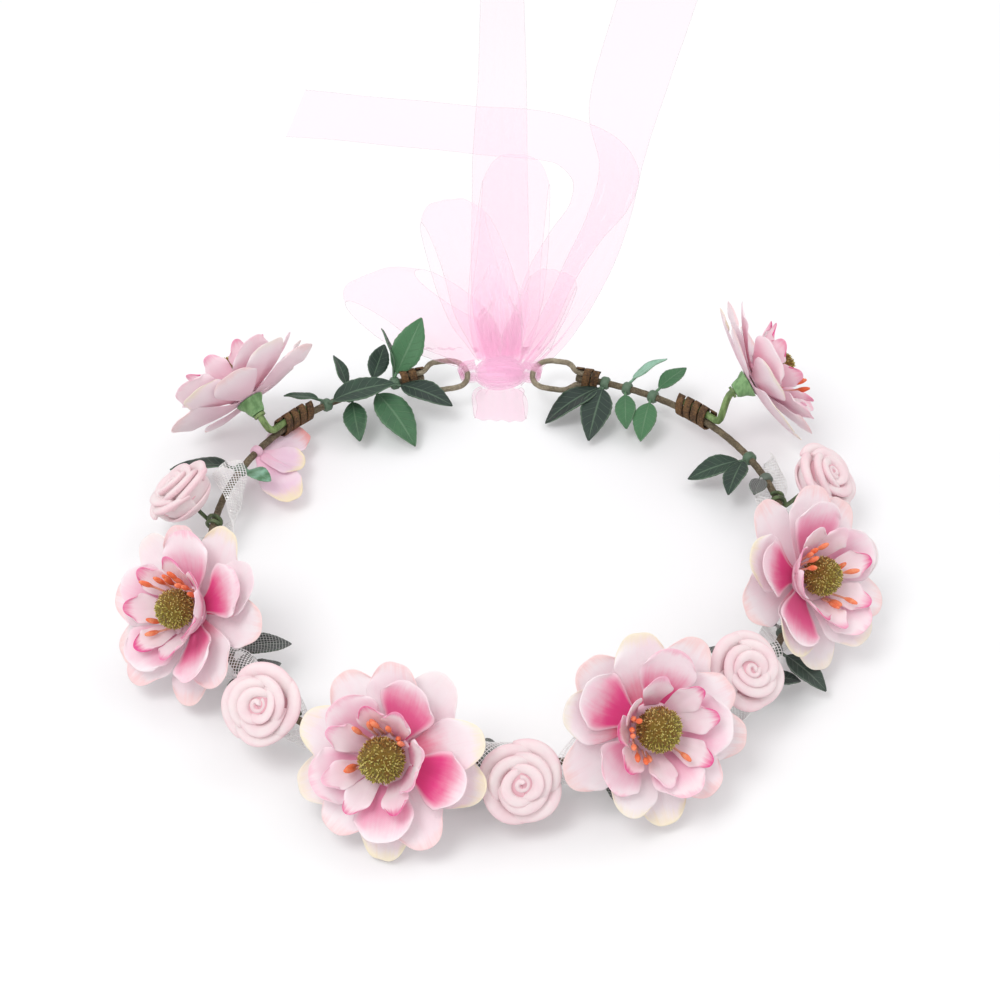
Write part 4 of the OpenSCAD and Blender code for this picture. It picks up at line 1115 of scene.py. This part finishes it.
def bow_loop(skin, hems, rng, row):
    """A loop that leaves the knot in gathers, opens to its full width and turns back on itself."""
    (x, turn, off), azimuth, length, height, rise, width = row
    root = KNOT_MIDDLE + knot_point(x, turn, RIBBON_SEAT + off)
    out = np.array([cos(azimuth), sin(azimuth), 0.0])
    turns = rows_of(BOW_OPENING, 360 - BOW_OPENING, 73)
    t = cols_of(-1, 1, 45)
    far = (cos(BOW_OPENING) - cos(turns)) / 2
    full = mix(BOW_THROAT, 1.0, sin(turns / 2))
    spread = smooth(-0.25, 0.3, far)
    half = mix(BOW_NECK, width * (1 - BOW_SHIFT), spread) / 2
    phase = rng.uniform(0, 2 * np.pi, 3)
    apart = BOW_SHIFT * width * (turns - 180) / 180 * smooth(0.1, 0.6, far)
    reach = length * far * (1 - BOW_ROUNDING * t**4 * far)
    gather = pleats(t, 2 * half, 4, TAKEN_UP * RIBBON_WIDTH, phase[0])
    gather = gather * smooth(0.0, 0.12, far) * (1 - 0.85 * smooth(0.72, 1.0, far))
    sway = 0.5 * np.sin(2.2 * t + np.radians(turns) * 2 + phase[1]) * far
    lift = rise * far + height * BOW_FULLNESS * sin(turns) * full + gather + sway
    grid = (root + reach[..., None] * out + (half * t + apart)[..., None] * np.cross(UP, out) + lift[..., None] * UP)
    grid[..., 2] = np.maximum(grid[..., 2], FLOOR_Z / MM + 0.2)
    if azimuth < 180:
        over_wire = 1 - smooth(9.5, 14.0, np.abs(grid[..., 1] - HALF_DEPTH))
        over_wire = over_wire * (np.abs(grid[..., 0]) > KNOT_LENGTH - 1)
        grid[..., 2] = np.maximum(grid[..., 2], 16.5 * over_wire - 12)
    skin.veil(grid, far=from_knot(grid))
    hem(hems, grid)
    return strip_length(grid)


rng = np.random.default_rng(12)
bow, hems = Skin("far"), Skin("far")
bow_length = sum(bow_loop(bow, hems, rng, row) for row in BOW_LOOPS)
BOW = make(bow, "bow", LOOP_SHEER, "ribbon_pink", "ribbon_bow")

tails = Skin("far")
for (x, turn, width), route in TAILS:
    line = spline([[*knot_point(x, turn, RIBBON_SEAT), width]] + route, 10)
    path = KNOT_MIDDLE + line[:, :3]
    strip = ribbon(tails, path, np.cross(UP, headings(path)), line[:, 3], rng, 0.6, TAKEN_UP, FLOOR_Z / MM + 0.15)
    hem(hems, strip)
TAIL_STRIPS = make(tails, "tails", TAIL_SHEER, "ribbon_pink", "ribbon_tails")
HEMS = make(hems, "hems", HEM, "ribbon_pink")

knot = Skin("far")
knot_length = 0.0
x = rows_of(-1, 1, 33)
turns = cols_of(0, 360, 85)
for layer in range(KNOT_TURNS):
    pleat = 1 + 0.08 * cos(11 * turns + 60 * layer + 40 * x) + 0.04 * cos(23 * turns - 90 * x)
    r = knot_swell(x) * pleat * (1 - 0.2 * layer)
    around = np.stack([x * KNOT_LENGTH * (1 - 0.06 * layer) + 0 * turns, KNOT_DEPTH * r * cos(turns),
                       KNOT_HEIGHT * r * sin(turns)], -1)
    knot.veil(around + KNOT_MIDDLE)
    knot_length += strip_length(around.swapaxes(0, 1))
for end, way in ENDS:
    t = -way * ring_tangent(end)
    side = cos(LOOP_TILT) * UP + sin(LOOP_TILT) * ring_out(end)
    over = np.cross(t, side)
    tip = ring_point(end) + LOOP_LENGTH * t
    inside = abs(tip[0]) - KNOT_LENGTH + 0.4
    arc = [[-EAR_RADIUS * sin(a), cos(a)] for a in np.linspace(0, 180, 13)]
    line = [[inside, 1], [1.5, 1]] + arc + [[1.5, -1], [inside, -1]]
    path = [tip + c[0] * t + c[1] * EAR_RADIUS * over for c in line]
    ear = ribbon(knot, path, [side] * len(path), [EAR_WIDTH] * len(path), rng, 0.3, EAR_TAKEN_UP)
    knot_length += strip_length(ear)
for end, width, low, high in GATHERS:
    s = rows_of(0, 1, 24)
    t = cols_of(-1, 1, 45)
    phase = rng.uniform(0, 2 * np.pi, 2)
    half = mix(5.0, width / 2, smooth(0.0, 0.6, s)) * (1 - 0.45 * smooth(0.75, 1.0, s))
    ends = 1 - 0.16 * t**2 + 0.07 * np.sin(6 * t + phase[0])
    pleat = pleats(t, 2 * half, 4, RIBBON_WIDTH, phase[1])
    pleat = pleat * smooth(0.0, 0.12, s) * (1 - 0.8 * smooth(0.82, 1.0, s))
    grid = KNOT_MIDDLE + np.stack([half * t + 0.6 * np.sin(3 * s), KNOT_DEPTH * 0.6 + end * s * ends,
                                   mix(low, high, s) + pleat], -1)
    knot.veil(grid, far=from_knot(grid) * 62 / end)
    knot_length += strip_length(grid)
KNOT = make(knot, "knot", GATHERED, "ribbon_pink", "ribbon_knot")
# Cloth as sheer as this takes hardly any light from what lies under it
for thing in (BOW, TAIL_STRIPS, HEMS, KNOT):
    thing.visible_shadow = False
    thing.visible_diffuse = False


# Floor, light and camera
FLOOR_HALF = 12.0
FLOOR_GLOW = 0.07
SKY_STRENGTH = 0.88
KEY_WATTS = 7.0
FILL_WATTS = 2.0


def floor_paint():
    """A pale floor that comes out white where nothing shades it."""
    p = Paint("floor", 0.0, roughness=0.9)
    p.base(p.mix(p.span(p.noise(3.0), 0.2, 0.8), "#e9e9eb", "#ececec"))
    light = p.tree.nodes.new("ShaderNodeLightPath").outputs
    mirrored = p.math("MAXIMUM", light["Is Glossy Ray"], light["Is Transmission Ray"])
    seen = p.math("MAXIMUM", light["Is Camera Ray"], mirrored)
    p.put(p.skin.inputs["Emission Strength"], p.times(seen, FLOOR_GLOW))
    p.skin.inputs["Emission Color"].default_value = (1, 1, 1, 1)
    return p.material


ground = bpy.data.meshes.new("floor")
ground.from_pydata([(x * FLOOR_HALF, y * FLOOR_HALF, FLOOR_Z) for x, y in ((-1, -1), (1, -1), (1, 1), (-1, 1))], [],
                   [(0, 1, 2, 3)])
ground.materials.append(floor_paint())
floor = bpy.data.objects.new("floor", ground)
bpy.context.scene.collection.objects.link(floor)

world = bpy.data.worlds.new("studio")
bpy.context.scene.world = world
world.use_nodes = True
sky = world.node_tree.nodes["Background"]
sky.inputs["Color"].default_value = (1.0, 1.0, 1.0, 1.0)
sky.inputs["Strength"].default_value = SKY_STRENGTH


def lamp(name, place, target, size, power):
    data = bpy.data.lights.new(name, "AREA")
    data.shape = "DISK"
    data.size = size
    data.energy = power
    obj = bpy.data.objects.new(name, data)
    obj.location = place
    obj.rotation_euler = (Vector(target) - Vector(place)).to_track_quat("-Z", "Y").to_euler()
    bpy.context.scene.collection.objects.link(obj)


lamp("key", (-0.5, -0.5, 1.3), (0, 0.02, 0), 0.7, KEY_WATTS)
lamp("fill", (0.9, 0.3, 1.1), (0, 0.02, 0), 0.9, FILL_WATTS)

CAMERA_RISE = 42.0
CAMERA_DISTANCE = 0.716
CAMERA_TARGET = Vector((0, 0.0242, 0))
camera_data = bpy.data.cameras.new("camera")
camera_data.sensor_width = 36
camera_data.lens = 77.1
camera = bpy.data.objects.new("camera", camera_data)
camera.location = CAMERA_TARGET + CAMERA_DISTANCE * Vector((0, -cos(CAMERA_RISE), sin(CAMERA_RISE)))
camera.rotation_euler = (CAMERA_TARGET - camera.location).to_track_quat("-Z", "Y").to_euler()
bpy.context.scene.collection.objects.link(camera)
bpy.context.scene.camera = camera
bpy.context.scene.view_settings.view_transform = "Standard"
